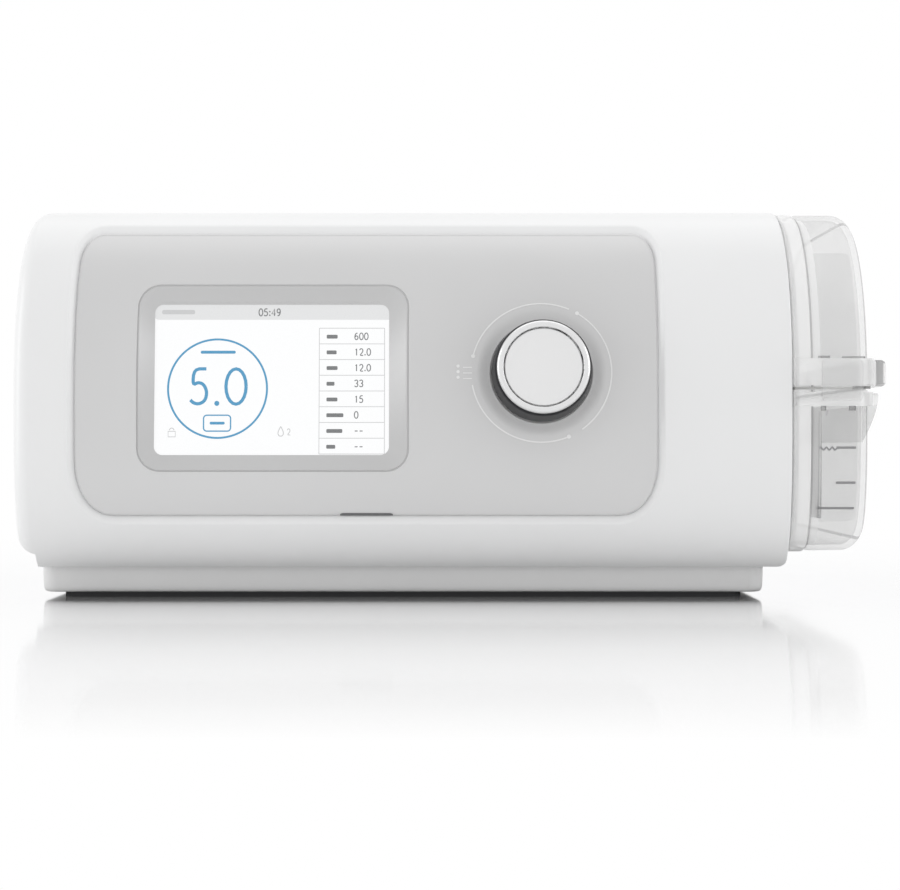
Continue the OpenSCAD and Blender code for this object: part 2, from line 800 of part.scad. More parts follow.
module inlet_seal() color("lightgray") place() difference() {
    rod_z(blower_x, blower_y, eye_r + 4, box_z1, volute_z0);
    rod_z(blower_x, blower_y, eye_r + 1, box_z1 - 1, volute_z0 + 1);
    translate([blower_x, blower_y, box_z1 + seal_h / 2]) rotate_extrude() translate([eye_r + 4.6, 0]) circle(1.6);
}

// Blower: spiral volute in two halves, impeller with swept blades
function spiral(grow) = [
    for (i = [0 : 36]) let (a = i * 10, r = volute_r0 + grow + volute_growth * i / 36)
        [r * cos(a - 90), r * sin(a - 90)]
];

module spiral_solid(grow, z0, z1) {
    translate([blower_x, blower_y, z0]) linear_extrude(z1 - z0) {
        polygon(spiral(grow));
        translate([0, -volute_r0 - volute_growth - grow]) square([neck_x - blower_x + grow, volute_growth + 2 * grow]);
    }
}

module volute() {
    difference() {
        union() {
            spiral_solid(volute_wall, volute_z0, volute_z0 + volute_h);
            rod_x(neck_y, volute_zm, duct_r, neck_x, neck_end);
        }
        spiral_solid(0, volute_z0 + volute_wall, volute_z0 + volute_h - volute_wall);
        rod_x(neck_y, volute_zm, duct_r - duct_wall, neck_x - 4, neck_end + 1);
        rod_z(blower_x, blower_y, eye_r, volute_z0 - 1, volute_z0 + volute_wall + 1);
        rod_z(blower_x, blower_y, spindle_r + 1, volute_zm, far);
    }
}

module volute_lower() color("silver") place() intersection() {
    volute();
    plate(-far, far, -far, far, 0, volute_zm);
}

module volute_upper() color("silver") place() intersection() {
    volute();
    plate(-far, far, -far, far, volute_zm, far);
}

blade_in = eye_r + 1;
blade_sweep = 46;
blade_t = 1.1;
function blade_point(s, off) = let (r = blade_in + (impeller_r - 1 - blade_in) * s, a = -blade_sweep * s * s)
    [r * cos(a) - off * sin(a), r * sin(a) + off * cos(a)];

module impeller() color("whitesmoke") place() translate([blower_x, blower_y, 0]) difference() {
    z0 = volute_z0 + volute_wall + 2;
    union() {
        translate([0, 0, z0]) rotate_extrude() polygon([
            [blade_in, 0], [impeller_r, 2.4], [impeller_r, 3.6], [blade_in, 1.2]
        ]);
        for (i = [0 : blade_count - 1]) rotate(i * 360 / blade_count) translate([0, 0, z0 + 1]) intersection() {
            linear_extrude(15) polygon(concat(
                [for (k = [0 : 6]) blade_point(k / 6, -blade_t / 2)],
                [for (k = [6 : -1 : 0]) blade_point(k / 6, blade_t / 2)]
            ));
            rotate_extrude() polygon([[1, -2], [blade_in, -0.2], [impeller_r, 2], [impeller_r, 20], [1, 20]]);
        }
        translate([0, 0, z0 + 15.2]) cylinder(r = impeller_r, h = 1.2);
        translate([0, 0, z0 + 6]) rotate_extrude() polygon([[0, 0], [3, 0.5], [5, 3], [7, 9.4], [5, 12.4], [0, 12.4]]);
    }
    translate([0, 0, z0]) cylinder(r = spindle_r, h = 40);
}

module motor_shaft() color("silver") place()
    rod_z(blower_x, blower_y, spindle_r, volute_z0 + volute_wall + 9, motor_z + motor_h - 2);

module blower_motor() color("dimgray") place() difference() {
    union() {
        translate([blower_x, blower_y, motor_z]) rotate_extrude() polygon([
            [0, 0], [motor_r, 0], [motor_r, motor_h - 1.5], [motor_r - 1.5, motor_h], [0, motor_h]
        ]);
        for (a = [30, 150, 270]) translate([blower_x, blower_y, motor_z]) rotate(a)
            translate([motor_r - 2, -3, 0]) cube([7, 6, 2.4]);
    }
    rod_z(blower_x, blower_y, spindle_r + run_gap, motor_z - 1, motor_z + motor_h - 1.5);
    for (a = [0 : 30 : 330]) translate([blower_x, blower_y, motor_z + motor_h]) rotate(a)
        translate([motor_r - 7, -0.8, -1]) cube([5, 1.6, 2]);
}

module blower_mounts() color("darkgray") place()
    for (a = [60, 180, 300]) translate([blower_x + mount_r * cos(a), blower_y + mount_r * sin(a), box_z1])
        rotate_extrude() polygon([[0, 0], [4, 0], [4, 2], [3, 3], [4, 4], [4, seal_h], [0, seal_h]]);

// Soft ribbed duct from the blower's neck to the dock
module outlet_bellows() color("lightgray") place() {
    x0 = neck_end - 5;
    x1 = bay_x0;
    lap = 5;
    ribs = floor((x1 - x0 - 2 * lap) / 4);
    pitch = (x1 - x0 - 2 * lap) / ribs;
    outer = [for (i = [0 : ribs - 1]) each [
        [duct_r + 1.4, lap + pitch * i], [duct_r + 3, lap + pitch * (i + 0.3)],
        [duct_r + 3, lap + pitch * (i + 0.7)]
    ]];
    inner = duct_r + 0.05;
    profile = concat([[inner, 0], [duct_r + 1.4, 0]], outer,
        [[duct_r + 1.4, x1 - x0 - lap], [duct_r + 1.4, x1 - x0], [inner, x1 - x0]]);
    translate([x0, neck_y, volute_zm]) rotate([0, 90, 0]) rotate_extrude() polygon(profile);
}

// Dock in the right end
module dock_bay() color("gainsboro") place() difference() {
    union() {
        plate(bay_x0, bay_x1, tank_y0 - bay_gap - bay_wall, tank_y1 + bay_gap + bay_wall, bay_floor, bay_top);
        intersection() {
            section_bar(wall + 0.2, bay_x1 - flange_t, bay_x1);
            plate(-far, far, -far, far, plinth_top + 0.2, far);
        }
        rod_x(inlet_y, port_z, duct_r, bay_x0 - 8, bay_x0 + 1);
        rod_x(return_y, port_z, duct_r, bay_x0 - 4, bay_x0 + 1);
    }
    plate(bay_x0 + bay_wall, bay_x1 + 1, tank_y0 - bay_gap, tank_y1 + bay_gap, bay_floor + bay_wall, bay_top - bay_wall);
    for (y = [inlet_y, return_y]) rod_x(y, port_z, duct_r - duct_wall, bay_x0 - 10, bay_x0 + bay_wall + 1);
    plate(tank_x0 + heater_in - 0.4, x_right - heater_in - 0.6, tank_y0 + heater_y - 0.4, tank_y1 - heater_y + 0.4,
        bay_floor - 1, bay_floor + bay_wall + 1);
}

module dock_seal() color("lightgray") place() difference() {
    union() {
        for (y = [inlet_y, return_y]) {
            rod_x(y, port_z, seal_r, bay_x0 + bay_wall, bay_x0 + bay_wall + 1.2);
            rod_x(y, port_z, seal_r - 1.2, bay_x0 + bay_wall, tank_x0 - fit_gap);
        }
        plate(bay_x0 + bay_wall, bay_x0 + bay_wall + 1.2, inlet_y, return_y, port_z - 5, port_z + 5);
    }
    for (y = [inlet_y, return_y]) rod_x(y, port_z, duct_r - duct_wall + 0.5, bay_x0, tank_x0 + 1);
}

module heater_plate() color("silver") place() {
    x0 = tank_x0 + heater_in;
    x1 = x_right - heater_in - 1;
    y0 = tank_y0 + heater_y;
    y1 = tank_y1 - heater_y;
    plate(x0, x1, y0, y1, bay_floor - 1, bay_floor + heater_lift);
    plate(x0 - heater_lap, x1 + heater_lap, y0 - heater_lap, y1 + heater_lap, bay_floor - 1.8, bay_floor);
}

module heater_pad() color("orangered") place()
    plate(tank_x0 + heater_in, x_right - heater_in - 1, tank_y0 + heater_y, tank_y1 - heater_y,
        bay_floor - 3, bay_floor - 1.8);

module return_elbow() color("lightgray") place() {
    translate([bay_x0 - 4, return_y + bend_r, port_z]) rotate(180) rotate_extrude(angle = 90)
        translate([bend_r, 0]) difference() {
            circle(duct_r);
            circle(duct_r - duct_wall);
        }
    difference() {
        rod_y(elbow_x, port_z, duct_r, return_y + bend_r, outlet_y0);
        rod_y(elbow_x, port_z, duct_r - duct_wall, return_y + bend_r - 1, y_rear);
    }
}

// Hose outlet at the rear: a straight 22 mm spigot
module outlet_port() color("white") place() difference() {
    union() {
        rod_y(elbow_x, port_z, outlet_r, y_rear, y_rear + outlet_out);
        rod_y(elbow_x, port_z, collar_r, outlet_y0, y_rear + collar_out);
        rod_y(elbow_x, port_z, outlet_flange_r, outlet_y0, outlet_y0 + 3.5);
    }
    rod_y(elbow_x, port_z, outlet_r - 2, outlet_y0 - 1, y_rear + outlet_out + 1);
}

module power_board() color("seagreen") place() difference() {
    union() {
        plate(power_x0, power_x1, power_y, power_y + 1.6, 24, 53);
        for (i = [0 : 2]) rod_y(power_x0 + 10 + 9 * i, 45, 3.6, power_y + 1.5, power_y + 9);
        plate(power_x1 - 22, power_x1 - 12, power_y + 1.5, power_y + 8, 38, 50);
    }
    for (x = [power_x0 + 4, power_x1 - 4]) rod_y(x, 49, 1.4, power_y - 1, power_y + 3);
}

module dc_inlet() color("black") place() difference() {
    union() {
        plate(dc_x - 5.5, dc_x + 5.5, power_y + 1.6, y_rear - wall - 3, dc_z - 5.5, dc_z + 5.5);
        rod_y(dc_x, dc_z, snout_r, y_rear - wall - 3.5, y_rear - 1);
    }
    rod_y(dc_x, dc_z, dc_r, y_rear - 1 - dc_l, y_rear);
}

module data_port() color("silver") place() difference() {
    plate(data_x - 4.6, data_x + 4.6, power_y + 1.6, y_rear - 1.2, dc_z - 1.7, dc_z + 1.7);
    plate(data_x - 4.2, data_x + 4.2, y_rear - 8, y_rear, dc_z - 1.3, dc_z + 1.3);
}

// Water tank: outer block flush with the loaf, inner block in the dock
module tank_block(skin, x0) {
    steps = [0, 0.06, 0.2, 0.42, 0.7, 1];
    ts = [for (s = steps) skin + (tank_edge_r - skin) * (1 - s)];
    xs = concat([x0], [for (t = ts) tank_x1 - t]);
    rings = concat(
        [section(skin + lid_top_drop, tank_bottom, 20)],
        [for (t = ts) section(skin + lid_top_drop + edge_inset(t - skin, tank_edge_r - skin), tank_bottom
            + edge_inset(t - skin, tank_low_r - skin) - edge_inset(t - skin, tank_edge_r - skin), 20)]
    );
    loft(xs, rings);
}

module rim_band(proud, x1, z0, z1) intersection() {
    section_bar(-proud, tank_left, x1);
    plate(-far, far, -far, far, z0, z1);
}

module tank_tub() color("lightblue", 0.5) place() difference() {
    union() {
        intersection() {
            tank_block(0, tank_left);
            plate(-far, far, -far, far, 0, tank_split);
        }
        rim_band(rim_proud, tank_x1 + rim_proud, tank_split - 0.8 - rim_h, tank_split - 0.8);
        plate(tank_x0, tank_left + 1, tank_y0, tank_y1, tank_floor, tank_split);
        translate([0, grip_half, 0]) rotate([90, 0, 0]) linear_extrude(2 * grip_half) polygon([
            [tank_x1 - 1, tank_split - 0.8], [tank_x1 + grip_out, tank_split - 0.8],
            [tank_x1 + grip_out - 0.6, tank_split - 6], [tank_x1 + grip_out - 2.4, tank_split - 11],
            [tank_x1, tank_split - grip_h], [tank_x1 - 1, tank_split - grip_h]
        ]);
        for (x = [knuckle_x0, knuckle_x0 + 3 * knuckle_w]) {
            rod_x(hinge_y, hinge_z, hinge_r, x, x + knuckle_w);
            plate(x, x + knuckle_w, y_rear - 1, hinge_y, hinge_z - hinge_r, tank_split - 0.8);
        }
    }
    intersection() {
        tank_block(tank_wall, tank_left + tank_wall);
        plate(-far, far, -far, far, 0, far);
    }
    plate(tank_x0 + tank_wall, tank_left + tank_wall + 1, tank_y0 + tank_wall, tank_y1 - tank_wall,
        tank_floor + tank_wall, far);
    rod_x(hinge_y, hinge_z, pin_r, knuckle_x0 - 1, tank_x1);
    plate(tank_x0 + heater_in, x_right - heater_in - 1, tank_y0 + heater_y, tank_y1 - heater_y,
        tank_floor - 1, tank_floor + tank_wall + 1);
}

module tank_plate() color("silver") place() {
    x0 = tank_x0 + heater_in;
    x1 = x_right - heater_in - 1;
    y0 = tank_y0 + heater_y;
    y1 = tank_y1 - heater_y;
    plate(x0 - heater_lap, x1 + heater_lap, y0 - heater_lap, y1 + heater_lap, tank_floor - plate_t, tank_floor);
    plate(x0, x1, y0, y1, tank_floor - eps, tank_floor + tank_wall);
}

// Closed air space of the inner block, with the two air ports
module tank_chamber() color("lightblue", 0.5) place() difference() {
    plate(tank_x0, x_right - tank_gap, tank_y0, tank_y1, tank_split, tank_high);
    plate(tank_x0 + tank_wall, x_right + 1, tank_y0 + tank_wall, tank_y1 - tank_wall,
        tank_split - 1, tank_high - tank_wall);
    for (y = [inlet_y, return_y]) rod_x(y, port_z, duct_r - duct_wall + 0.5, tank_x0 - 1, tank_x0 + tank_wall + 1);
}

module hinge_pin() color("silver") place() rod_x(hinge_y, hinge_z, pin_r, knuckle_x0, knuckle_x0 + 4 * knuckle_w);

module tank_lid() color("lightblue", 0.5) place() difference() {
    union() {
        intersection() {
            tank_block(0, tank_left);
            plate(-far, far, -far, far, tank_split + lid_gap, far);
        }
        rim_band(bar_proud, tank_x1 + bar_proud, bar_z0, bar_z0 + bar_h);
        translate([tank_x1 - 2, -tab_half, bar_z0]) linear_extrude(bar_h) tab_outline();
        rod_x(hinge_y, hinge_z, hinge_r, knuckle_x0 + knuckle_w + 0.3, knuckle_x0 + 3 * knuckle_w - 0.3);
        plate(knuckle_x0 + knuckle_w + 0.3, knuckle_x0 + 3 * knuckle_w - 0.3, y_rear - 1, hinge_y,
            bar_z0, hinge_z + hinge_r);
    }
    tank_block(tank_wall, tank_left + tank_wall);
    plate(tank_left - 1, tank_left + tank_wall + 1, tank_y0 + tank_wall, tank_y1 - tank_wall,
        0, tank_high - tank_wall);
    rod_x(hinge_y, hinge_z, pin_r + run_gap, knuckle_x0 - 1, tank_x1);
}

module tab_outline() {
    w = tab_out + 2;
    l = 2 * tab_half;
    translate([0, 0]) square([w - tab_r, l]);
    translate([0, tab_r]) square([w, l - 2 * tab_r]);
    for (y = [tab_r, l - tab_r]) translate([w - tab_r, y]) circle(tab_r);
}

module lid_seal() color("gray") place() difference() {
    intersection() {
        tank_block(0.4, tank_left + 0.4);
        plate(-far, far, -far, far, tank_split + 0.1, tank_split + lid_gap);
    }
    tank_block(tank_wall, tank_left + tank_wall);
    plate(tank_left - 1, tank_left + tank_wall + 1, tank_y0 + tank_wall, tank_y1 - tank_wall, 0, far);
}

module lid_clip() color("lightblue") place()
    translate([clip_x0, y_front - bar_proud - clip_t - eps, clip_z0]) cube([clip_w, clip_t, clip_h]);

front_housing();
rear_housing();
base_tray();
feet();
case_screws();
front_panel();
display_window();
lcd_gasket();
lcd_module();
control_board();
board_screws();
encoder_body();
encoder_nut();
encoder_rotor();
knob_shaft();
knob_skirt();
knob_ring();
knob_cap();
start_button();
button_board();
button_switch();
filter_cover();
intake_filter();
muffler_box();
muffler_cover();
muffler_foam();
inlet_seal();
volute_lower();
volute_upper();
impeller();
motor_shaft();
blower_motor();
blower_mounts();
outlet_bellows();
dock_bay();
dock_seal();
heater_plate();
heater_pad();
return_elbow();
outlet_port();
power_board();
dc_inlet();
data_port();
tank_tub();
tank_chamber();
tank_plate();
hinge_pin();
tank_lid();
lid_seal();
lid_clip();
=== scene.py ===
import json
import math

import bpy
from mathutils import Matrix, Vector


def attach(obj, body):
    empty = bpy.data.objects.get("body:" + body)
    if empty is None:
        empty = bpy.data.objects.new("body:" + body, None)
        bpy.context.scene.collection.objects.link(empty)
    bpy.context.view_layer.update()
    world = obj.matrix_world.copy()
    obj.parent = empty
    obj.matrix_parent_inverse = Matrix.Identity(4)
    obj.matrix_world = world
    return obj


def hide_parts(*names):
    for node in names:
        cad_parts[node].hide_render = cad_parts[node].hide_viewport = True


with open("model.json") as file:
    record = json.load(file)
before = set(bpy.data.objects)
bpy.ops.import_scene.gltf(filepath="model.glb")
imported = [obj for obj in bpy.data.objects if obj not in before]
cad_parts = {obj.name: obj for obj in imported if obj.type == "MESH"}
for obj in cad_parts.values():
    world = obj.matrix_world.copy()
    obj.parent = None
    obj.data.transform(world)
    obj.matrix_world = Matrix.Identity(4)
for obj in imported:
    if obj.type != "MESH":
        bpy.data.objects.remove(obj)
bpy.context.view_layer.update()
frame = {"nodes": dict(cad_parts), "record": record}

# Everything below is drawn in millimetres in the machine's own frame and moved
# to the row's frame by this shift
SHIFT_X = 13.25
SHIFT_Y = 1.2213885

# Housing
X_LEFT = -119.0
X_RIGHT = 119.0
Y_FRONT = -72.5
Y_REAR = 72.5
TOP_Z = 123.0
BELLY_Z = 60.0
LOW_Z = 6.0
END_R = 5.5
END_LOW_R = 7.5
END_LOW_H = 7.5
WALL = 2.5
PLINTH_TOP = 9.6
PLINTH_END = 5.9
CROWN_FRONT = 48.0
CROWN_REAR = 45.0
LOW_FRONT = 30.0
LOW_REAR = 25.0
POWER_FRONT = 2.35
POWER_REAR = 3.2
POWER_LOW = 3.0
END_STEPS = 12

# Panel
PANEL_X = -10.8
PANEL_Z = 70.0
PANEL_W = 177.2
PANEL_H = 88.4
PANEL_R = 11.5
PANEL_TOP_R = 6.5
CORNER_STRETCH = 1.5
CORNER_POWER = 2.2
PANEL_SINK = 0.8
PANEL_T = 2.4
PANEL_GAP = 0.5
LIP_OUT = 2.4
LIP_DEPTH = 1.75
GAP_DEPTH = 1.95
EDGE_GROW = 0.15
EDGE_ROLL = 0.5
NOTCH_W = 16.2
NOTCH_H = 0.6

# The tilted plane that the display and the knob sit on
FACE_Y = -71.7
FACE_Z = 68.1
FACE_TILT = math.radians(4)
DISPLAY_X = -39.3
KNOB_X = 42.6
KNOB_Y = 1.5
KNOB_R = 15.25
RING_R = 13.9
CAP_R = 11.8
KNOB_TOP = 15.6
SKIRT_TOP = 13.9
CAP_TOP = 14.9
KNOB_BASE = 0.15
DISH_DEPTH = 0.4
DISH_R = 15.6
DISH_MOUTH_R = 19.8
DISH_FLOOR = -2.6
ARC_R = 21.4
FUNNEL_W = 82.2
FUNNEL_H = 57.2
FUNNEL_R = 6.7
SCREEN_W = 71.9
SCREEN_H = 46.3
SCREEN_R = 2.6
SCREEN_DX = -0.6
SCREEN_DY = -0.35
WINDOW_Z = -4.6
PICTURE_Z = -5.985

# Start button and filter cover
BUTTON_X = -8.0
BUTTON_Y = -14.6
BUTTON_L = 34.4
BUTTON_W = 13.0
BUTTON_TOP = 122.5
COVER_Y = -6.5
COVER_Z = 64.6
COVER_R = 43.0
COVER_X = -124.1
COVER_HOLE_R = 40.6

# Tank
TANK_LEFT = 119.4
TANK_RIGHT = 143.0
TANK_BOTTOM = 13.6
TANK_LOW_R = 7.5
TANK_EDGE_R = 6.0
TANK_DROP = 0.5
TANK_UNDER = 20.0
TANK_WALL = 2.0
TANK_SPLIT = 64.3
LID_Z0 = 65.1
BAR_Z0 = 65.6
BAR_H = 8.2
BAR_PROUD = 1.0
RIM_PROUD = 0.8
RIM_Z0 = 59.3
RIM_Z1 = 63.5
TAB_X = 150.6
TAB_HALF = 62.0
TAB_R = 5.0
FIN_HALF = 58.0
FIN_OUT = 5.2
FLANGE_X = 124.8
GROOVE_X = 125.5
HINGE_Y = 77.2
HINGE_Z = 65.0
KNUCKLE_X = 122.4
KNUCKLE_R = 3.0
PIN_HOLE_R = 1.55
INNER_X0 = 58.6
INNER_Y0 = -49.0
INNER_Y1 = 55.0
FLOOR_Z = 19.5
CHAMBER_TOP = 101.0

# How far cutters reach past the machine
REACH_X = 200
REACH_Y = 120

# Points round the dish under the knob
DISH_POINTS = 120

# How near the loaf's skin a corner has to lie to take the skin's normal, in mm,
# and how alike in direction its face has to be, as a cosine
SKIN_REACH = 0.08
SKIN_ALIKE = 0.85


# Numbers


def spow(v, e):
    return -((-v) ** e) if v < 0 else v ** e


def smooth(t):
    t = min(1.0, max(0.0, t))
    return t * t * (3 - 2 * t)


def edge_inset(t, r):
    """How far a rounded edge of radius r is set in at a distance t from its end."""
    if t >= r:
        return 0.0
    t = max(0.0, t)
    return r - math.sqrt(max(0.0, r * r - (r - t) ** 2))


def turn(degrees):
    """Cosine and sine, exactly zero where a quarter turn makes them so."""
    t = math.radians(degrees)
    return [0.0 if abs(v) < 1e-9 else v for v in (math.cos(t), math.sin(t))]


def arc_points(cx, cy, r, start, stop, n=60):
    return [(cx + r * math.cos(math.radians(start + (stop - start) * k / n)),
             cy + r * math.sin(math.radians(start + (stop - start) * k / n))) for k in range(n + 1)]


def circle(cx, cy, r, n=96):
    return [(cx + r * math.cos(2 * math.pi * k / n), cy + r * math.sin(2 * math.pi * k / n))
            for k in range(n)]


def between(p, q, n):
    """The points that part the run from p to q into n."""
    return [(p[0] + (q[0] - p[0]) * k / n, p[1] + (q[1] - p[1]) * k / n) for k in range(1, n)]


# The loaf: its section and its skin


def quadrant(yc, a, b, n, start, stop, steps):
    points = []
    for k in range(steps + 1):
        c, s = turn(start + (stop - start) * k / steps)
        points.append((yc + a * spow(c, 2 / n), BELLY_Z + b * spow(s, 2 / n)))
    return points


def flat(y0, y1, z, steps):
    return [(y, z) for y, _ in between((y0, z), (y1, z), steps)]


def front_half(inset, low, under=LOW_FRONT, stop=0.0, steps=34):
    top = quadrant(Y_FRONT + CROWN_FRONT, CROWN_FRONT - inset, TOP_Z - BELLY_Z - inset,
                   POWER_FRONT, 90, 180, steps)
    foot = quadrant(Y_FRONT + under, under - inset, BELLY_Z - low - inset, POWER_LOW, 180, 270, steps)
    high = TOP_Z - inset
    return ([(stop, high)] + flat(stop, top[0][0], high, 5) + top + foot[1:]
            + flat(foot[-1][0], stop, low + inset, 6) + [(stop, low + inset)])


def rear_half(inset, low, stop=0.0, steps=34):
    top = quadrant(Y_REAR - CROWN_REAR, CROWN_REAR - inset, TOP_Z - BELLY_Z - inset,
                   POWER_REAR, 0, 90, steps)
    foot = quadrant(Y_REAR - LOW_REAR, LOW_REAR - inset, BELLY_Z - low - inset, POWER_REAR, 270, 360, steps)
    high = TOP_Z - inset
    return ([(stop, low + inset)] + flat(stop, foot[0][0], low + inset, 6) + foot + top[1:]
            + flat(top[-1][0], stop, high, 5) + [(stop, high)])


def whole_section(inset, low, under=LOW_FRONT, steps=30):
    front = front_half(inset, low, under, 0.0, steps)
    rear = rear_half(inset, low, 0.0, steps)
    return front[:-1] + rear[:-1]


def implicit(x, y, z, skin=0.0):
    """Negative inside the loaf, zero on its skin."""
    t = x - X_LEFT
    inset = skin + edge_inset(t - skin, END_R - skin)
    low = LOW_Z
    if z >= BELLY_Z:
        b = TOP_Z - BELLY_Z - inset
        if y < Y_FRONT + CROWN_FRONT:
            u = (y - Y_FRONT - CROWN_FRONT) / (CROWN_FRONT - inset)
            n = POWER_FRONT
        elif y > Y_REAR - CROWN_REAR:
            u = (y - Y_REAR + CROWN_REAR) / (CROWN_REAR - inset)
            n = POWER_REAR
        else:
            u = 0.0
            n = POWER_REAR
    else:
        b = BELLY_Z - low - inset
        if y < Y_FRONT + LOW_FRONT:
            u = (y - Y_FRONT - LOW_FRONT) / (LOW_FRONT - inset)
            n = POWER_LOW
        elif y > Y_REAR - LOW_REAR:
            u = (y - Y_REAR + LOW_REAR) / (LOW_REAR - inset)
            n = POWER_REAR
        else:
            u = 0.0
            n = POWER_REAR
    w = (z - BELLY_Z) / b
    return abs(u) ** n + abs(w) ** n - 1


def skin_normal(p, skin=0.0):
    """Outward normal of the loaf's skin, and how far p is from it."""
    x, y, z = p
    h = 0.002
    here = implicit(x, y, z, skin)
    g = Vector((
        (implicit(x + 5 * h, y, z, skin) - implicit(x - 5 * h, y, z, skin)) / (10 * h),
        (implicit(x, y + h, z, skin) - implicit(x, y - h, z, skin)) / (2 * h),
        (implicit(x, y, z + h, skin) - implicit(x, y, z - h, skin)) / (2 * h),
    ))
    size = g.length
    if size < 1e-9:
        return None, 9.0
    return g / size, here / size


def skin_y(z, inset):
    """Front face of the bar at height z."""
    if z >= BELLY_Z:
        a = CROWN_FRONT - inset
        b = TOP_Z - BELLY_Z - inset
        n = POWER_FRONT
        yc = Y_FRONT + CROWN_FRONT
    else:
        a = LOW_FRONT - inset
        b = BELLY_Z - LOW_Z - inset
        n = POWER_LOW
        yc = Y_FRONT + LOW_FRONT
    w = min(1.0, abs(z - BELLY_Z) / b)
    return yc - a * (1 - w ** n) ** (1 / n)


def on_skin(x, z, depth):
    """Point at a depth below the outer skin, straight in along its normal."""
    y = skin_y(z, 0.0)
    n, _ = skin_normal((x, y, z))
    n.x = 0.0
    n.normalize()
    return Vector((x, y, z)) - n * depth


def face_point(u, v, w):
    """Machine point of a place on the tilted plane: u right, v up, w out."""
    y = FACE_Y + v * math.sin(FACE_TILT) - w * math.cos(FACE_TILT)
    z = FACE_Z + v * math.cos(FACE_TILT) + w * math.sin(FACE_TILT)
    return Vector((u, y, z))


FACE_OUT = Vector((0, -math.cos(FACE_TILT), math.sin(FACE_TILT)))

# Straight out of the front
OUT = Vector((0, -1, 0))


# Outlines in the XZ plane


def corner_arcs(w, h, r, steps):
    """The four rounded corners of a rectangle about the origin."""
    return [arc_points(sx * (w / 2 - r), sy * (h / 2 - r), r, start, start + 90, steps)
            for sx, sy, start in ((1, 1, 0), (-1, 1, 90), (-1, -1, 180), (1, -1, 270))]


def rounded_rect(w, h, r, steps=12, side=8):
    return fill_sides([p for arc in corner_arcs(w, h, r, steps) for p in arc], side)


def rounded_line(w, h, r, steps=12, sides=12):
    """A rounded rectangle with as many points on each side at any size."""
    arcs = corner_arcs(w, h, r, steps)
    points = []
    for k, arc in enumerate(arcs):
        points += arc + between(arc[-1], arcs[(k + 1) % 4][0], sides)
    return points


def pill_outline(cx, cy, length, width, n=20):
    reach = length / 2 - width / 2
    return (arc_points(cx + reach, cy, width / 2, -90, 90, n)
            + arc_points(cx - reach, cy, width / 2, 90, 270, n))


def fill_sides(points, side):
    """Adds points on the long straight runs of a closed outline."""
    out = []
    for k, p in enumerate(points):
        q = points[(k + 1) % len(points)]
        out.append(p)
        length = math.dist(p, q)
        if length > 4.0 and side:
            out += between(p, q, max(2, int(length / 3.0)))
    return out


def panel_corner(x, z, r, start, steps=16):
    points = []
    for k in range(steps + 1):
        c, s = turn(start + 90 * k / steps)
        points.append((x + r * spow(c, 2 / CORNER_POWER),
                       z + CORNER_STRETCH * r * spow(s, 2 / CORNER_POWER)))
    return points


def panel_outline(notch=False):
    w = PANEL_W / 2
    h = PANEL_H / 2
    points = panel_corner(w - PANEL_TOP_R, h - CORNER_STRETCH * PANEL_TOP_R, PANEL_TOP_R, 0)
    points += panel_corner(PANEL_TOP_R - w, h - CORNER_STRETCH * PANEL_TOP_R, PANEL_TOP_R, 90)
    points += panel_corner(PANEL_R - w, CORNER_STRETCH * PANEL_R - h, PANEL_R, 180)
    if notch:
        for side in (-1, 1):
            for k in range(9):
                t = k / 8
                rise = (1 + side * math.cos(math.pi * t)) / 2
                points.append((side * NOTCH_W / 2 + 1.8 * (t - 0.5), NOTCH_H * rise - h))
    points += panel_corner(w - PANEL_R, CORNER_STRETCH * PANEL_R - h, PANEL_R, 270)
    kept = []
    for p in points:
        if not kept or math.dist(p, kept[-1]) > 0.02:
            kept.append(p)
    kept = fill_sides(kept, 8)
    return [(PANEL_X + x, PANEL_Z + z) for x, z in kept]


def outline_normals(points):
    normals = []
    n = len(points)
    for k in range(n):
        a = points[k - 1]
        b = points[(k + 1) % n]
        tx = b[0] - a[0]
        tz = b[1] - a[1]
        length = math.hypot(tx, tz) or 1.0
        normals.append((tz / length, -tx / length))
    return normals


def grown(points, normals, g):
    return [(p[0] + g * n[0], p[1] + g * n[1]) for p, n in zip(points, normals)]


# Meshes


def face_normal(verts, face):
    n = Vector((0, 0, 0))
    for k, i in enumerate(face):
        a = verts[i]
        b = verts[face[(k + 1) % len(face)]]
        n.x += (a[1] - b[1]) * (a[2] + b[2])
        n.y += (a[2] - b[2]) * (a[0] + b[0])
        n.z += (a[0] - b[0]) * (a[1] + b[1])
    return n


def corner_normals(verts, faces, angle, rule=None):
    """A normal for each face corner: averaged over neighbours within the angle,
    or given by rule(vertex, face normal)."""
    limit = math.cos(math.radians(angle))
    raw = [face_normal(verts, f) for f in faces]
    unit = [n.normalized() if n.length > 1e-12 else Vector((0, 0, 1)) for n in raw]
    around = {}
    for k, f in enumerate(faces):
        for i in f:
            around.setdefault(i, []).append(k)
    out = []
    for k, f in enumerate(faces):
        own = unit[k]
        for i in f:
            given = rule(verts[i], own) if rule else None
            if given is not None:
                out.append(given)
                continue
            total = Vector((0, 0, 0))
            for j in around[i]:
                if own.dot(unit[j]) > limit:
                    total += raw[j]
            out.append(total.normalized() if total.length > 1e-12 else own)
    return out


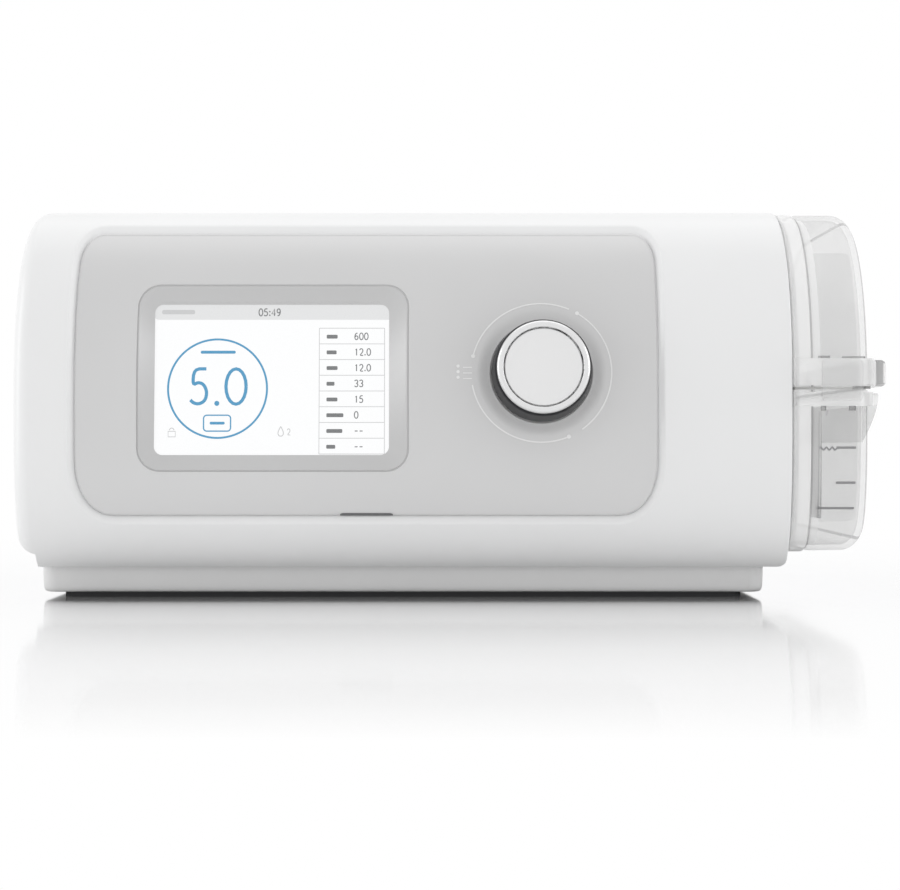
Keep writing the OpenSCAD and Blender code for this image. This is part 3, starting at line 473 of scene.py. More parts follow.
class Build:
    """Collects faces with their corner normals into one mesh."""

    def __init__(self):
        self.verts = []
        self.faces = []
        self.normals = []
        self.slots = []

    def add(self, verts, faces, normals=None, angle=35, slot=0, rule=None):
        verts = [Vector(v) for v in verts]
        if normals is None:
            normals = corner_normals(verts, faces, angle, rule)
        start = len(self.verts)
        self.verts += verts
        self.faces += [tuple(i + start for i in f) for f in faces]
        self.normals += normals
        self.slots += [slot] * len(faces)
        return self

    def make(self, name, materials):
        data = bpy.data.meshes.new(name)
        data.from_pydata([in_row(v) for v in self.verts], [], self.faces)
        for material in materials:
            data.materials.append(material)
        for polygon, slot in zip(data.polygons, self.slots):
            polygon.use_smooth = True
            polygon.material_index = slot
        data.normals_split_custom_set([tuple(n) for n in self.normals])
        piece = bpy.data.objects.new(name, data)
        bpy.context.scene.collection.objects.link(piece)
        return piece


def in_row(p):
    return ((p[0] - SHIFT_X) / 1000, (p[1] - SHIFT_Y) / 1000, p[2] / 1000)


def sheet_mesh(rows, closed=True):
    """Open strip between rows of points, the rows closed on themselves."""
    n = len(rows[0])
    verts = [Vector(p) for row in rows for p in row]
    faces = []
    for k in range(len(rows) - 1):
        for i in range(n if closed else n - 1):
            j = (i + 1) % n
            faces.append((k * n + i, k * n + j, (k + 1) * n + j, (k + 1) * n + i))
    return verts, faces


def loft(rings):
    """Closed tube between rings of equal length, each a list of 3D points."""
    verts, faces = sheet_mesh(rings)
    n = len(rings[0])
    faces.append(tuple(range(n - 1, -1, -1)))
    faces.append(tuple(range((len(rings) - 1) * n, len(rings) * n)))
    return outward(verts, faces)


def outward(verts, faces):
    """Turns a closed mesh's faces outwards."""
    volume = 0.0
    for f in faces:
        a = Vector(verts[f[0]])
        for k in range(1, len(f) - 1):
            volume += a.dot(Vector(verts[f[k]]).cross(Vector(verts[f[k + 1]])))
    if volume < 0:
        faces = [tuple(reversed(f)) for f in faces]
    return verts, faces


def temp_object(verts, faces):
    verts, faces = outward(verts, faces)
    data = bpy.data.meshes.new("work")
    data.from_pydata([tuple(v) for v in verts], [], faces)
    work = bpy.data.objects.new("work", data)
    bpy.context.scene.collection.objects.link(work)
    return work


def combine(base, cutters, operation="DIFFERENCE"):
    """Applies boolean cutters, each (verts, faces), to base and gives (verts, faces)."""
    work = temp_object(*base)
    others = []
    for verts, faces in cutters:
        other = temp_object(verts, faces)
        others.append(other)
        step = work.modifiers.new("cut", "BOOLEAN")
        step.operation = operation
        step.solver = "EXACT"
        step.object = other
    graph = bpy.context.evaluated_depsgraph_get()
    result = bpy.data.meshes.new_from_object(work.evaluated_get(graph))
    verts = [v.co.copy() for v in result.vertices]
    faces = [tuple(p.vertices) for p in result.polygons]
    for item in others + [work]:
        data = item.data
        bpy.data.objects.remove(item)
        bpy.data.meshes.remove(data)
    bpy.data.meshes.remove(result)
    return verts, faces


def box_mesh(x0, x1, y0, y1, z0, z1):
    verts = [(x, y, z) for x in (x0, x1) for y in (y0, y1) for z in (z0, z1)]
    faces = [(0, 1, 3, 2), (4, 6, 7, 5), (0, 4, 5, 1), (2, 3, 7, 6), (0, 2, 6, 4), (1, 5, 7, 3)]
    return outward(verts, faces)


def slab(z0, z1):
    """Everything between two heights."""
    return box_mesh(-REACH_X, REACH_X, -REACH_Y, REACH_Y, z0, z1)


def prism_x(outline, x0, x1):
    return loft([[(x, y, z) for y, z in outline] for x in (x0, x1)])


def prism_y(outline, y0, y1):
    return loft([[(x, y, z) for x, z in outline] for y in (y0, y1)])


def prism_z(outline, z0, z1):
    return loft([[(x, y, z) for x, y in outline] for z in (z0, z1)])


def tube_x(y, z, r, x0, x1, n=128):
    return prism_x(circle(y, z, r, n), x0, x1)


def tube_y(x, z, r, y0, y1, n=96):
    return prism_y(circle(x, z, r, n), y0, y1)


def strip_normals(rows, first=None, flip=False):
    """Corner normals of a strip from the slopes of its rows; first gives the
    normals that its first row takes over from the surface beside it."""
    m = len(rows)
    n = len(rows[0])
    normals = []
    for k in range(m):
        line = []
        for i in range(n):
            along = Vector(rows[k][(i + 1) % n]) - Vector(rows[k][i - 1])
            down = Vector(rows[min(k + 1, m - 1)][i]) - Vector(rows[max(k - 1, 0)][i])
            normal = -along.cross(down) if flip else along.cross(down)
            line.append(normal.normalized() if normal.length > 1e-12 else OUT)
        normals.append(line)
    if first is not None:
        normals[0] = first
    out = []
    for k in range(m - 1):
        for i in range(n):
            j = (i + 1) % n
            out += [normals[k][i], normals[k][j], normals[k + 1][j], normals[k + 1][i]]
    return out


def add_strip(build, rows, towards, first=None, slot=0):
    """Adds a strip whose faces look along the vector towards."""
    verts, faces = sheet_mesh(rows)
    half = len(faces) // 2
    normals = strip_normals(rows, first)
    if normals[4 * half].dot(towards) < 0:
        normals = strip_normals(rows, first, flip=True)
    if face_normal(verts, faces[half]).dot(towards) < 0:
        flipped = []
        for k in range(len(faces)):
            flipped += list(reversed(normals[4 * k:4 * k + 4]))
        faces = [tuple(reversed(f)) for f in faces]
        normals = flipped
    build.add(verts, faces, normals, slot=slot)


def rounded_profile(points, radii, steps=6):
    """Rounds the corners of a profile of (radius, height) points."""
    out = [points[0]]
    for k in range(1, len(points) - 1):
        a = Vector(points[k - 1])
        b = Vector(points[k])
        c = Vector(points[k + 1])
        r = radii[k]
        if r <= 0:
            out.append(tuple(b))
            continue
        p = b + (a - b).normalized() * r
        q = b + (c - b).normalized() * r
        for j in range(steps + 1):
            t = j / steps
            out.append(tuple(p * (1 - t) ** 2 + b * 2 * t * (1 - t) + q * t ** 2))
    out.append(points[-1])
    return out


# Shaders


def new_material(name):
    material = bpy.data.materials.new(name)
    material.use_nodes = True
    material.node_tree.nodes.clear()
    return material, material.node_tree


def add_node(tree, kind, inputs=None, out=0, **settings):
    """Makes a node. Each input is a plain value or the output that feeds it."""
    made = tree.nodes.new("ShaderNode" + kind)
    for key, value in settings.items():
        setattr(made, key, value)
    for key, value in (inputs or {}).items():
        if isinstance(value, bpy.types.NodeSocket):
            tree.links.new(value, made.inputs[key])
        else:
            made.inputs[key].default_value = value
    return made.outputs[out] if len(made.outputs) else made


def own_place(tree):
    """The piece's own coordinates, in metres."""
    return add_node(tree, "TexCoord", out="Object")


def grain(tree, scale, detail=2.0, offset=0.0):
    place = own_place(tree)
    if offset:
        place = add_node(tree, "VectorMath", {0: place, 1: (offset,) * 3}, operation="ADD")
    return add_node(tree, "TexNoise", {"Vector": place, "Scale": scale, "Detail": detail}, "Fac")


def spread(tree, source, low, high, start=0.3, stop=0.7):
    """Maps a part of source, for noise its middle, to the range low to high."""
    inputs = {"Value": source, "From Min": start, "From Max": stop, "To Min": low, "To Max": high}
    return add_node(tree, "MapRange", inputs, "Result")


def tinted(tree, source, dark, light):
    inputs = {"Factor": source, "A": (*dark, 1), "B": (*light, 1)}
    return add_node(tree, "Mix", inputs, "Result", data_type="RGBA")


def bumped(tree, source, strength, distance):
    return add_node(tree, "Bump", {"Height": source, "Strength": strength, "Distance": distance})


def painted_height_shade(tree, colour, z0, z1, foot, head):
    """Painted shade: scales a colour by height, foot at z0 and head at z1, in metres."""
    height = add_node(tree, "SeparateXYZ", {0: own_place(tree)}, "Z")
    scale = spread(tree, height, foot, head, z0, z1)
    return add_node(tree, "VectorMath", {0: colour, "Scale": scale}, operation="SCALE")


def scaled(colour, factor):
    return tuple(min(1.0, c * factor) for c in colour)


def plastic(name, colour, rough=0.4, grain_mm=0.5, bump=0.15, vary=0.03, metal=0.0,
            specular=0.5, rough_vary=0.04, fade=None):
    """Moulded plastic or painted metal with fine texture and slow colour drift; fade, if given, paints shade
    into the colour by height.
    """
    material, tree = new_material(name)
    slow = grain(tree, 22)
    fine = grain(tree, 1000 / grain_mm, 2.0, 3.1)
    colours = tinted(tree, spread(tree, slow, 0.0, 1.0), scaled(colour, 1 - vary), scaled(colour, 1 + vary))
    if fade:
        colours = painted_height_shade(tree, colours, *fade)
    shader = add_node(tree, "BsdfPrincipled", {
        "Base Color": colours,
        "Roughness": spread(tree, slow, rough - rough_vary, rough + rough_vary),
        "Normal": bumped(tree, fine, bump, 0.00004 * grain_mm / 0.5),
        "Metallic": metal,
        "Specular IOR Level": specular,
        "Coat Roughness": 0.08,
    })
    add_node(tree, "OutputMaterial", {"Surface": shader})
    return material


def metal(name, colour, rough):
    """Metal with fine marks in its colour and gloss."""
    material, tree = new_material(name)
    place = add_node(tree, "Mapping", {"Vector": own_place(tree)})
    marks = add_node(tree, "TexNoise", {"Vector": place, "Scale": 900, "Detail": 3.0}, "Fac")
    shader = add_node(tree, "BsdfPrincipled", {
        "Base Color": tinted(tree, marks, scaled(colour, 0.94), colour),
        "Roughness": spread(tree, marks, rough * 0.8, rough * 1.25),
        "Normal": bumped(tree, marks, 0.12, 0.00003),
        "Metallic": 1.0,
    })
    add_node(tree, "OutputMaterial", {"Surface": shader})
    return material


def shaped(tree, source, power, scale, plus):
    """source to a power, scaled and raised, kept between 0 and 1."""
    raised = add_node(tree, "Math", {0: source, 1: power}, operation="POWER")
    return add_node(tree, "Math", {0: raised, 1: scale, 2: plus}, operation="MULTIPLY_ADD", use_clamp=True)


def clear(name, tint=1.0, edge=0.75, haze=0.06, rough=0.1, haze_colour=0.95, bump=0.1, rim=0.5):
    """Clear moulded plastic: it passes light and shines towards its edges, and its tint darkens towards its
    edges, painted shade for refraction.
    """
    material, tree = new_material(name)
    facing = add_node(tree, "LayerWeight", {"Blend": 0.5}, "Facing")
    slow = grain(tree, 60)
    wavy = grain(tree, 380, 1.0, 1.7)
    painted_edge_shade = shaped(tree, facing, 5.0, 1.0, 0.0)
    through = add_node(tree, "BsdfTransparent", {"Color": tinted(tree, painted_edge_shade, (tint,) * 3, (edge,) * 3)})
    shine = add_node(tree, "BsdfPrincipled", {
        "Base Color": (haze_colour, haze_colour, haze_colour, 1),
        "Roughness": spread(tree, slow, rough * 0.8, rough * 1.3),
        "Normal": bumped(tree, wavy, bump, 0.00006),
    })
    share = shaped(tree, facing, 4.0, rim, 0.03 + haze)
    add_node(tree, "OutputMaterial", {"Surface": mixed(tree, share, through, shine)})
    return material


def mixed(tree, share, first, second):
    return add_node(tree, "MixShader", {0: share, 1: first, 2: second})


def lit(name, colour, vary=0.01):
    """A self-lit surface such as the display's picture, with a faint pixel grain."""
    material, tree = new_material(name)
    fine = grain(tree, 6000, 1.0)
    shader = add_node(tree, "BsdfPrincipled", {
        "Emission Color": tinted(tree, fine, scaled(colour, 1 - vary), colour),
        "Base Color": (0.02, 0.02, 0.02, 1),
        "Emission Strength": 1.0,
        "Roughness": spread(tree, fine, 0.25, 0.35),
    })
    add_node(tree, "OutputMaterial", {"Surface": shader})
    return material


def rubber(name, colour, rough=0.75):
    return plastic(name, colour, rough, 0.35, 0.4, 0.08, specular=0.3)


WHITE = plastic("housing_white", (0.83, 0.833, 0.836), 0.3, 0.6, 0.06, 0.008, rough_vary=0.008)
# The panel's colour carries painted shade: full at 26 mm high and 0.92 at 114 mm, darker towards its top
SILVER = plastic("panel_silver", (0.665, 0.665, 0.667), 0.42, 0.35, 0.12, 0.015, 0.35,
                 fade=(0.026, 0.114, 1.0, 0.92))
FUNNEL = plastic("funnel_silver", (0.55, 0.55, 0.552), 0.36, 0.4, 0.1, 0.015, 0.3)
TRAY = plastic("tray_grey", (0.79, 0.79, 0.79), 0.42, 0.5, 0.15, 0.015)
BLACK = plastic("knob_black", (0.014, 0.014, 0.016), 0.42, 0.5, 0.05, 0.1, specular=0.14)
# Painted shadow: dark grey for the sheet at the back of the panel's notch
PAINTED_SHADOW_GREY = plastic("shadow_grey", (0.16, 0.16, 0.165), 0.6, 0.5, 0.1, 0.05, specular=0.2)
RING = plastic("knob_satin", (0.77, 0.77, 0.775), 0.24, 0.4, 0.05, 0.01, 0.75)
CAP = plastic("knob_cap_grey", (0.81, 0.81, 0.812), 0.4, 0.35, 0.08, 0.008, 0.1)
BUTTON = plastic("button_white", (0.76, 0.765, 0.77), 0.33, 0.4, 0.05, 0.01)
COVER = plastic("cover_grey", (0.62, 0.625, 0.63), 0.45, 0.5, 0.15, 0.02)
PRINT_WHITE = plastic("print_white", (0.86, 0.86, 0.86), 0.5, 0.2, 0.05, 0.01)
PRINT_LEVEL = plastic("print_level", (0.26, 0.26, 0.265), 0.5, 0.2, 0.05, 0.05)
SCREEN = lit("screen_white", (0.95, 0.955, 0.96))
SCREEN_LOOKS = [
    SCREEN,
    lit("screen_header", (0.74, 0.745, 0.75)),
    lit("screen_blue", (0.045, 0.29, 0.52), 0.03),
    lit("screen_grey", (0.16, 0.165, 0.17), 0.05),
    lit("screen_pale", (0.56, 0.565, 0.57), 0.02),
]
PAPER, HEADER, BLUE, GREY, PALE = range(5)
CLEAR = clear("tank_clear", edge=0.82, rim=0.35)
# The dim, groove and shade looks are clear plastic in darker tints, painted shade for inner walls and
# refraction seen through the tank
TANK_LOOKS = [
    CLEAR,
    clear("tank_frost", edge=0.85, haze=0.4, rough=0.4, haze_colour=0.97, bump=0.3),
    clear("tank_painted_dim", tint=0.9, edge=0.8, haze=0.08, rough=0.15, haze_colour=0.9),
    clear("tank_groove_shade", tint=0.7, edge=0.5, haze=0.1, rough=0.3, haze_colour=0.6),
    clear("tank_bar", edge=0.9, haze=0.32, rough=0.3, haze_colour=0.97),
    clear("tank_shade", tint=0.6, edge=0.4, haze=0.1, rough=0.2, haze_colour=0.5),
]
CLEAR_SLOT, FROST_SLOT, PAINTED_DIM_SLOT, GROOVE_SHADE_SLOT, BAR_SLOT, SHADE_SLOT = range(6)
# Painted shade: the rib dims to 0.3 at grazing, so that seen edge on it reads as a dark line
RIB = clear("tub_rib", tint=0.9, edge=0.3, haze=0.05, rough=0.15, haze_colour=0.8, rim=0.25)
CLIP = clear("clip_clear", tint=0.98, edge=0.8, haze=0.1, rough=0.2)
WINDOW = clear("window_glass", tint=0.99, edge=0.9, haze=0.0, rough=0.05, bump=0.02, rim=0.3)


# Materials of the CAD parts that stay

PLAIN = {
    "housing_white": WHITE,
    "tray_grey": TRAY,
    "foot_rubber": rubber("foot_rubber", (0.03, 0.03, 0.032)),
    "steel": metal("steel", (0.56, 0.56, 0.57), 0.3),
    "panel_grey": SILVER,
    "window_glass": WINDOW,
    "gasket_black": rubber("gasket_black", (0.02, 0.02, 0.022)),
    "screen_white": SCREEN,
    "board_green": plastic("board_green", (0.02, 0.13, 0.06), 0.35, 1.2, 0.5, 0.25),
    "encoder_grey": plastic("encoder_grey", (0.09, 0.09, 0.095), 0.5, 0.5, 0.2, 0.05),
    "rotor_brass": metal("rotor_brass", (0.72, 0.52, 0.22), 0.28),
    "knob_black": BLACK,
    "knob_chrome": RING,
    "knob_grey": CAP,
    "button_white": BUTTON,
    "cover_grey": COVER,
    "filter_white": plastic("filter_white", (0.78, 0.78, 0.76), 0.9, 1.6, 0.9, 0.12),
    "duct_grey": plastic("duct_grey", (0.22, 0.225, 0.235), 0.5, 0.6, 0.2, 0.04),
    "foam_dark": plastic("foam_dark", (0.05, 0.05, 0.052), 0.95, 1.5, 1.0, 0.4),
    "seal_grey": rubber("seal_grey", (0.5, 0.5, 0.49), 0.6),
    "blower_grey": plastic("blower_grey", (0.35, 0.355, 0.36), 0.45, 0.6, 0.15, 0.03),
    "impeller_white": plastic("impeller_white", (0.78, 0.78, 0.77), 0.35, 0.6, 0.1, 0.02),
    "motor_metal": metal("motor_metal", (0.42, 0.42, 0.43), 0.36),
    "dock_grey": plastic("dock_grey", (0.66, 0.665, 0.67), 0.42, 0.6, 0.15, 0.02),
    "heater_metal": metal("heater_metal", (0.62, 0.62, 0.63), 0.34),
    "pad_orange": rubber("pad_orange", (0.62, 0.2, 0.05), 0.6),
    "port_white": plastic("port_white", (0.78, 0.785, 0.79), 0.36, 0.5, 0.08, 0.01),
    "socket_black": plastic("socket_black", (0.02, 0.02, 0.022), 0.4, 0.5, 0.12, 0.08),
    "tank_clear": CLEAR,
    "lid_clear": CLEAR,
}

slot_of = {part["node"]: part["material_slot"] for part in frame["record"]["subparts"]}
for name, item in frame["nodes"].items():
    material = PLAIN[slot_of[name]]
    item.data.materials.clear()
    item.data.materials.append(material)


def place_piece(piece, body, slot, *nodes):
    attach(piece, body)
    if nodes:
        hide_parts(*nodes)
    return piece


# Housings


def housing_xs():
    return [END_R * (1 - math.cos(math.radians(90 * k / END_STEPS))) for k in range(END_STEPS + 1)]


def ring_at(x, section):
    return [(x, y, z) for y, z in section]


def housing_rings(half):
    rings = [ring_at(X_LEFT + t, half(edge_inset(t, END_R), LOW_Z)) for t in housing_xs()]
    roll = 0.7
    rings += [ring_at(x, half(0.0, LOW_Z)) for x in (-60, 0, 60, X_RIGHT - roll)]
    for k in range(1, 5):
        a = math.radians(90 * k / 4)
        rings.append(ring_at(X_RIGHT - roll + roll * math.sin(a), half(roll * (1 - math.cos(a)), LOW_Z)))
    return rings


def inner_rings(half, stop):
    rings = []
    for t in [0, 0.1, 0.4, 1, 1.8, 3]:
        section = half(WALL + edge_inset(t, END_R - WALL), LOW_Z, stop=stop)
        rings.append(ring_at(X_LEFT + WALL + t, section))
    return rings + [ring_at(X_RIGHT + 2, half(WALL, LOW_Z, stop=stop))]


def end_block(skin):
    """What is cut from the left end beside the plinth, leaving a rounded corner."""
    xc = X_LEFT + skin + END_LOW_R
    zc = LOW_Z + skin + END_LOW_H + END_LOW_R
    edge = X_LEFT + skin + PLINTH_END
    line = [(X_LEFT - 5, -5), (edge, -5)]
    steps = 14
    first = math.acos((xc - edge) / END_LOW_R)
    for k in range(steps + 1):
        a = first * (1 - k / steps)
        line.append((xc - END_LOW_R * math.cos(a), zc - END_LOW_R * math.sin(a)))
    line.append((X_LEFT - 5, zc))
    return prism_y(line, -REACH_Y, REACH_Y)


def corner_block(r):
    """Rounds the lower corner of the open right end."""
    line = [(X_RIGHT + 2, PLINTH_TOP - 2), (X_RIGHT + 2, PLINTH_TOP + r)]
    for k in range(9):
        a = math.radians(90 * k / 8)
        line.append((X_RIGHT - r + r * math.cos(a), PLINTH_TOP + r - r * math.sin(a)))
    line.append((X_RIGHT - r, PLINTH_TOP - 2))
    return prism_y(line, -REACH_Y, REACH_Y)


def seam_cutter():
    """A thin four-sided bar along the joint of the two halves."""
    path = [(X_RIGHT + 1, TOP_Z)]
    for t in reversed(housing_xs()):
        path.append((X_LEFT + t, TOP_Z - edge_inset(t, END_R)))
    path += [(X_LEFT, 60), (X_LEFT, LOW_Z + END_LOW_H + END_LOW_R)]
    rings = []
    r = 0.32
    for k, (x, z) in enumerate(path):
        a = path[max(k - 1, 0)]
        b = path[min(k + 1, len(path) - 1)]
        tx = b[0] - a[0]
        tz = b[1] - a[1]
        length = math.hypot(tx, tz)
        nx = tz / length
        nz = -tx / length
        rings.append([(x + nx * r, 0, z + nz * r), (x, r, z), (x - nx * r, 0, z - nz * r), (x, -r, z)])
    return loft(rings)


def skin_rule(depth):
    """Takes a corner's normal from the loaf's skin at a depth, where the point lies on it."""
    def rule(point, normal):
        found, distance = skin_normal(point, depth)
        if found is None or abs(distance) > SKIN_REACH or found.dot(normal) < SKIN_ALIKE:
            return None
        return None if point[0] < X_LEFT + 0.001 else found
    return rule


def housing_build(half, stop, cutters):
    base = combine(loft(housing_rings(half)), [end_block(0.0), corner_block(2.6)])
    inner = combine(loft(inner_rings(half, stop)), [end_block(WALL)])
    tools = [inner, box_mesh(-REACH_X, REACH_X, -100, 100, -5, PLINTH_TOP)]
    tools += [tube_x(COVER_Y, COVER_Z, COVER_HOLE_R, X_LEFT - 2, X_LEFT + 6), seam_cutter()]
    verts, faces = combine(base, tools + cutters)
    return Build().add(verts, faces, angle=32, rule=skin_rule(0.0))


PANEL_LINE = panel_outline()
PANEL_LINE_N = outline_normals(PANEL_LINE)


def skin_row(outline, depth):
    return [on_skin(x, z, depth) for x, z in outline]


def skin_row_normals(outline):
    normals = []
    for x, z in outline:
        n, _ = skin_normal((x, skin_y(z, 0.0), z))
        n.x = 0.0
        normals.append(n.normalized())
    return normals


def lip_rows():
    """The bevelled edge of the housing round the panel, and the pocket's wall."""
    profile = rounded_profile([(LIP_OUT + 0.6, 0.0), (LIP_OUT, 0.0), (PANEL_GAP, LIP_DEPTH),
                               (PANEL_GAP, GAP_DEPTH), (-0.8, GAP_DEPTH)], [0, 0.4, 0.2, 0, 0], 4)
    return [skin_row(grown(PANEL_LINE, PANEL_LINE_N, g), depth) for g, depth in profile]


opening = grown(PANEL_LINE, PANEL_LINE_N, LIP_OUT + 0.6)
button_hole = pill_outline(BUTTON_X, BUTTON_Y, BUTTON_L + 0.6, BUTTON_W + 0.6)
front = housing_build(front_half, 1.0, [prism_y(opening, -REACH_Y, -25), prism_z(button_hole, 112, 130)])
lip_first = skin_row_normals(opening)
add_strip(front, lip_rows(), OUT, lip_first)
place_piece(front.make("front_housing_shell", [WHITE]), "machine", "housing_white", "front_housing")

rear_holes = [
    tube_y(30, 77, 12.4, 64, 76),
    tube_y(-70, 34, 6.2, 64, 76, 64),
    box_mesh(-49, -39, 64, 76, 32, 36),
]
rear = housing_build(rear_half, -1.0, rear_holes)
place_piece(rear.make("rear_housing_shell", [WHITE]), "machine", "housing_white", "rear_housing")


# Panel


def face_outline(points):
    """XZ places of an outline on the tilted plane, seen from the front."""
    return [(p.x, p.z) for p in (face_point(u, v, 0) for u, v in points)]


def funnel_line(s):
    """Outline of the funnel, s = 0 at its mouth and 1 at the screen."""
    w = FUNNEL_W + (SCREEN_W - FUNNEL_W) * s
    h = FUNNEL_H + (SCREEN_H - FUNNEL_H) * s
    r = FUNNEL_R + (SCREEN_R - FUNNEL_R) * s
    points = rounded_line(w, h, r)
    return [(DISPLAY_X + u + SCREEN_DX * s, v + SCREEN_DY * s) for u, v in points]


def mouth_line(g):
    """Outline g millimetres outside the funnel's mouth."""
    return funnel_line(-g / 4.1)


def mouth_rows(steps):
    """Rows of (distance outside the mouth, depth below the panel's face)."""
    return [skin_row(face_outline(mouth_line(g)), PANEL_SINK + depth) for g, depth in steps]


MOUTH_RIM = [(0.8, 0.0), (0.5, 0.0), (0.4, 0.05), (0.34, 0.16)]
MOUTH_GROOVE = [(0.34, 0.16), (0.33, 0.45), (0.06, 0.45), (0.05, 0.3)]


def funnel_rows():
    rows = mouth_rows([(0.05, 0.3), (0.0, 0.2), (-0.1, 0.17), (-0.25, 0.24)])
    last = rows[-1]
    steps = 10
    for k in range(1, steps + 1):
        a = k / steps
        floor = [face_point(u, v, WINDOW_Z) for u, v in funnel_line(0.06 + 0.94 * a)]
        rows.append([Vector((q.x, p.y + (q.y - p.y) * a, q.z)) for p, q in zip(last, floor)])
    return rows


def dish_circle(r):
    return circle(KNOB_X, KNOB_Y, r, DISH_POINTS)


def dish_rows():
    """The round hollow under the knob, run out smoothly into the panel."""
    rows = []
    steps = 16
    for k in range(steps + 1):
        a = k / steps
        line = dish_circle(DISH_MOUTH_R + (DISH_R - DISH_MOUTH_R) * a)
        rows.append(skin_row(face_outline(line), PANEL_SINK + DISH_DEPTH * smooth(a)))
    for r in (13.0, 3.7):
        rows.append([face_point(x, y, DISH_FLOOR) for x, y in dish_circle(r)])
    return rows


def front_hole(row):
    """A cutter through the panel whose outline is a strip's first row."""
    return prism_y([(p.x, p.z) for p in row], -REACH_Y, -20)


def bar(inset, x0, x1):
    return prism_x(front_half(inset, LOW_Z, stop=-10.0, steps=44), x0, x1)


NOTCHED = panel_outline(True)
EDGE_LINE = grown(NOTCHED, outline_normals(NOTCHED), EDGE_GROW)
EDGE_LINE_N = outline_normals(EDGE_LINE)
inner_edge = grown(EDGE_LINE, EDGE_LINE_N, -EDGE_ROLL)
blank = combine(bar(PANEL_SINK, -104, 84), [prism_y(inner_edge, -REACH_Y, -30)], "INTERSECT")
panel_cutters = [front_hole(mouth_rows(MOUTH_RIM)[0]), front_hole(dish_rows()[0]),
                 bar(PANEL_SINK + PANEL_T, -106, 86)]
verts, faces = combine(blank, panel_cutters)
panel = Build().add(verts, faces, angle=32, rule=skin_rule(PANEL_SINK))


def edge_rows():
    rows = []
    steps = 6
    for k in range(steps + 1):
        a = math.radians(90 * k / steps)
        g = -EDGE_ROLL * (1 - math.sin(a))
        rows.append(skin_row(grown(EDGE_LINE, EDGE_LINE_N, g), PANEL_SINK + EDGE_ROLL * (1 - math.cos(a))))
    rows.append(skin_row(EDGE_LINE, PANEL_SINK + PANEL_T))
    return rows


NOTCH_DEPTH = PANEL_SINK + 0.45
add_strip(panel, edge_rows(), OUT, skin_row_normals(inner_edge))
add_strip(panel, mouth_rows(MOUTH_RIM), OUT, skin_row_normals(face_outline(mouth_line(0.8))))
add_strip(panel, mouth_rows(MOUTH_GROOVE), OUT, slot=1)
add_strip(panel, funnel_rows(), OUT, slot=1)
add_strip(panel, dish_rows(), FACE_OUT, skin_row_normals(face_outline(dish_circle(DISH_MOUTH_R))))
# A dark grey sheet at the back of the notch under the panel, painted shadow that makes the slot read dark
notch_z = PANEL_Z - PANEL_H / 2
notch_line = [(PANEL_X - NOTCH_W / 2 + NOTCH_W * k / 12, notch_z - 0.3) for k in range(13)]
notch_rows = [skin_row(notch_line, NOTCH_DEPTH), skin_row([(x, z + 1.3) for x, z in notch_line], NOTCH_DEPTH)]
notch_verts, notch_faces = sheet_mesh(notch_rows, closed=False)
if face_normal(notch_verts, notch_faces[0]).y > 0:
    notch_faces = [tuple(reversed(f)) for f in notch_faces]
panel.add(notch_verts, notch_faces, slot=2)
place_piece(panel.make("front_panel_skin", [SILVER, FUNNEL, PAINTED_SHADOW_GREY]), "machine", "panel_grey", "front_panel")


# Lines printed on the panel and pictures on the screen


def drape(u, v, lift):
    """Point just over the panel at a place on the tilted plane."""
    p = face_point(u, v, 0)
    return on_skin(p.x, p.z, PANEL_SINK - lift)


def on_screen(u, v, lift):
    return face_point(DISPLAY_X + u, v, PICTURE_Z + lift)


def stroke(points, width, put, lift, closed=False):
    """A flat line of even width along 2D points, with squared ends."""
    n = len(points)
    left = []
    right = []
    for k in range(n):
        a = points[(k - 1) % n] if (k > 0 or closed) else points[0]
        b = points[(k + 1) % n] if (k < n - 1 or closed) else points[-1]
        tx = b[0] - a[0]
        ty = b[1] - a[1]
        length = math.hypot(tx, ty) or 1.0
        nx = -ty / length * width / 2
        ny = tx / length * width / 2
        left.append((points[k][0] + nx, points[k][1] + ny))
        right.append((points[k][0] - nx, points[k][1] - ny))
    verts = [put(u, v, lift) for u, v in left] + [put(u, v, lift) for u, v in right]
    faces = []
    last = n if closed else n - 1
    for k in range(last):
        j = (k + 1) % n
        faces.append((k, n + k, n + j, j))
    return verts, faces


def disc(cx, cy, r, put, lift, n=24):
    return [put(u, v, lift) for u, v in circle(cx, cy, r, n)], [tuple(range(n))]


def plate(x0, x1, y0, y1, put, lift, r):
    corners = []
    for cx, cy, start in ((x1 - r, y1 - r, 0), (x0 + r, y1 - r, 90),
                          (x0 + r, y0 + r, 180), (x1 - r, y0 + r, 270)):
        corners += arc_points(cx, cy, r, start, start + 90, 5)
    return [put(u, v, lift) for u, v in corners], [tuple(range(len(corners)))]


def facing_front(build, shape, slot=0):
    """Adds flat faces so that they look out of the panel."""
    verts, faces = shape
    turned = []
    for f in faces:
        if face_normal(verts, f).dot(FACE_OUT) < 0:
            f = tuple(reversed(f))
        turned.append(f)
    build.add(verts, turned, angle=20, slot=slot)


PRINT_LIFT = 0.03

marks = Build()
for start, stop in ((165.0, 66.5), (57.5, -54.5), (-66.5, -169.5)):
    facing_front(marks, stroke(arc_points(KNOB_X, KNOB_Y, ARC_R, start, stop, 80), 0.42, drape, PRINT_LIFT))
for angle in (166.5, 59.0, -67.0):
    cx = KNOB_X + ARC_R * math.cos(math.radians(angle))
    cy = KNOB_Y + ARC_R * math.sin(math.radians(angle))
    facing_front(marks, disc(cx, cy, 0.62, drape, PRINT_LIFT + 0.01))
for k in (-1, 0, 1):
    facing_front(marks, disc(KNOB_X - 25.4, KNOB_Y + 0.2 + 1.72 * k, 0.5, drape, PRINT_LIFT))
    line = [(KNOB_X - 23.9, KNOB_Y - 0.2 + 1.72 * k), (KNOB_X - 21.2, KNOB_Y - 0.2 + 1.72 * k)]
    facing_front(marks, stroke(line, 0.3, drape, PRINT_LIFT))
place_piece(marks.make("knob_marks", [PRINT_WHITE]), "machine", "panel_grey")

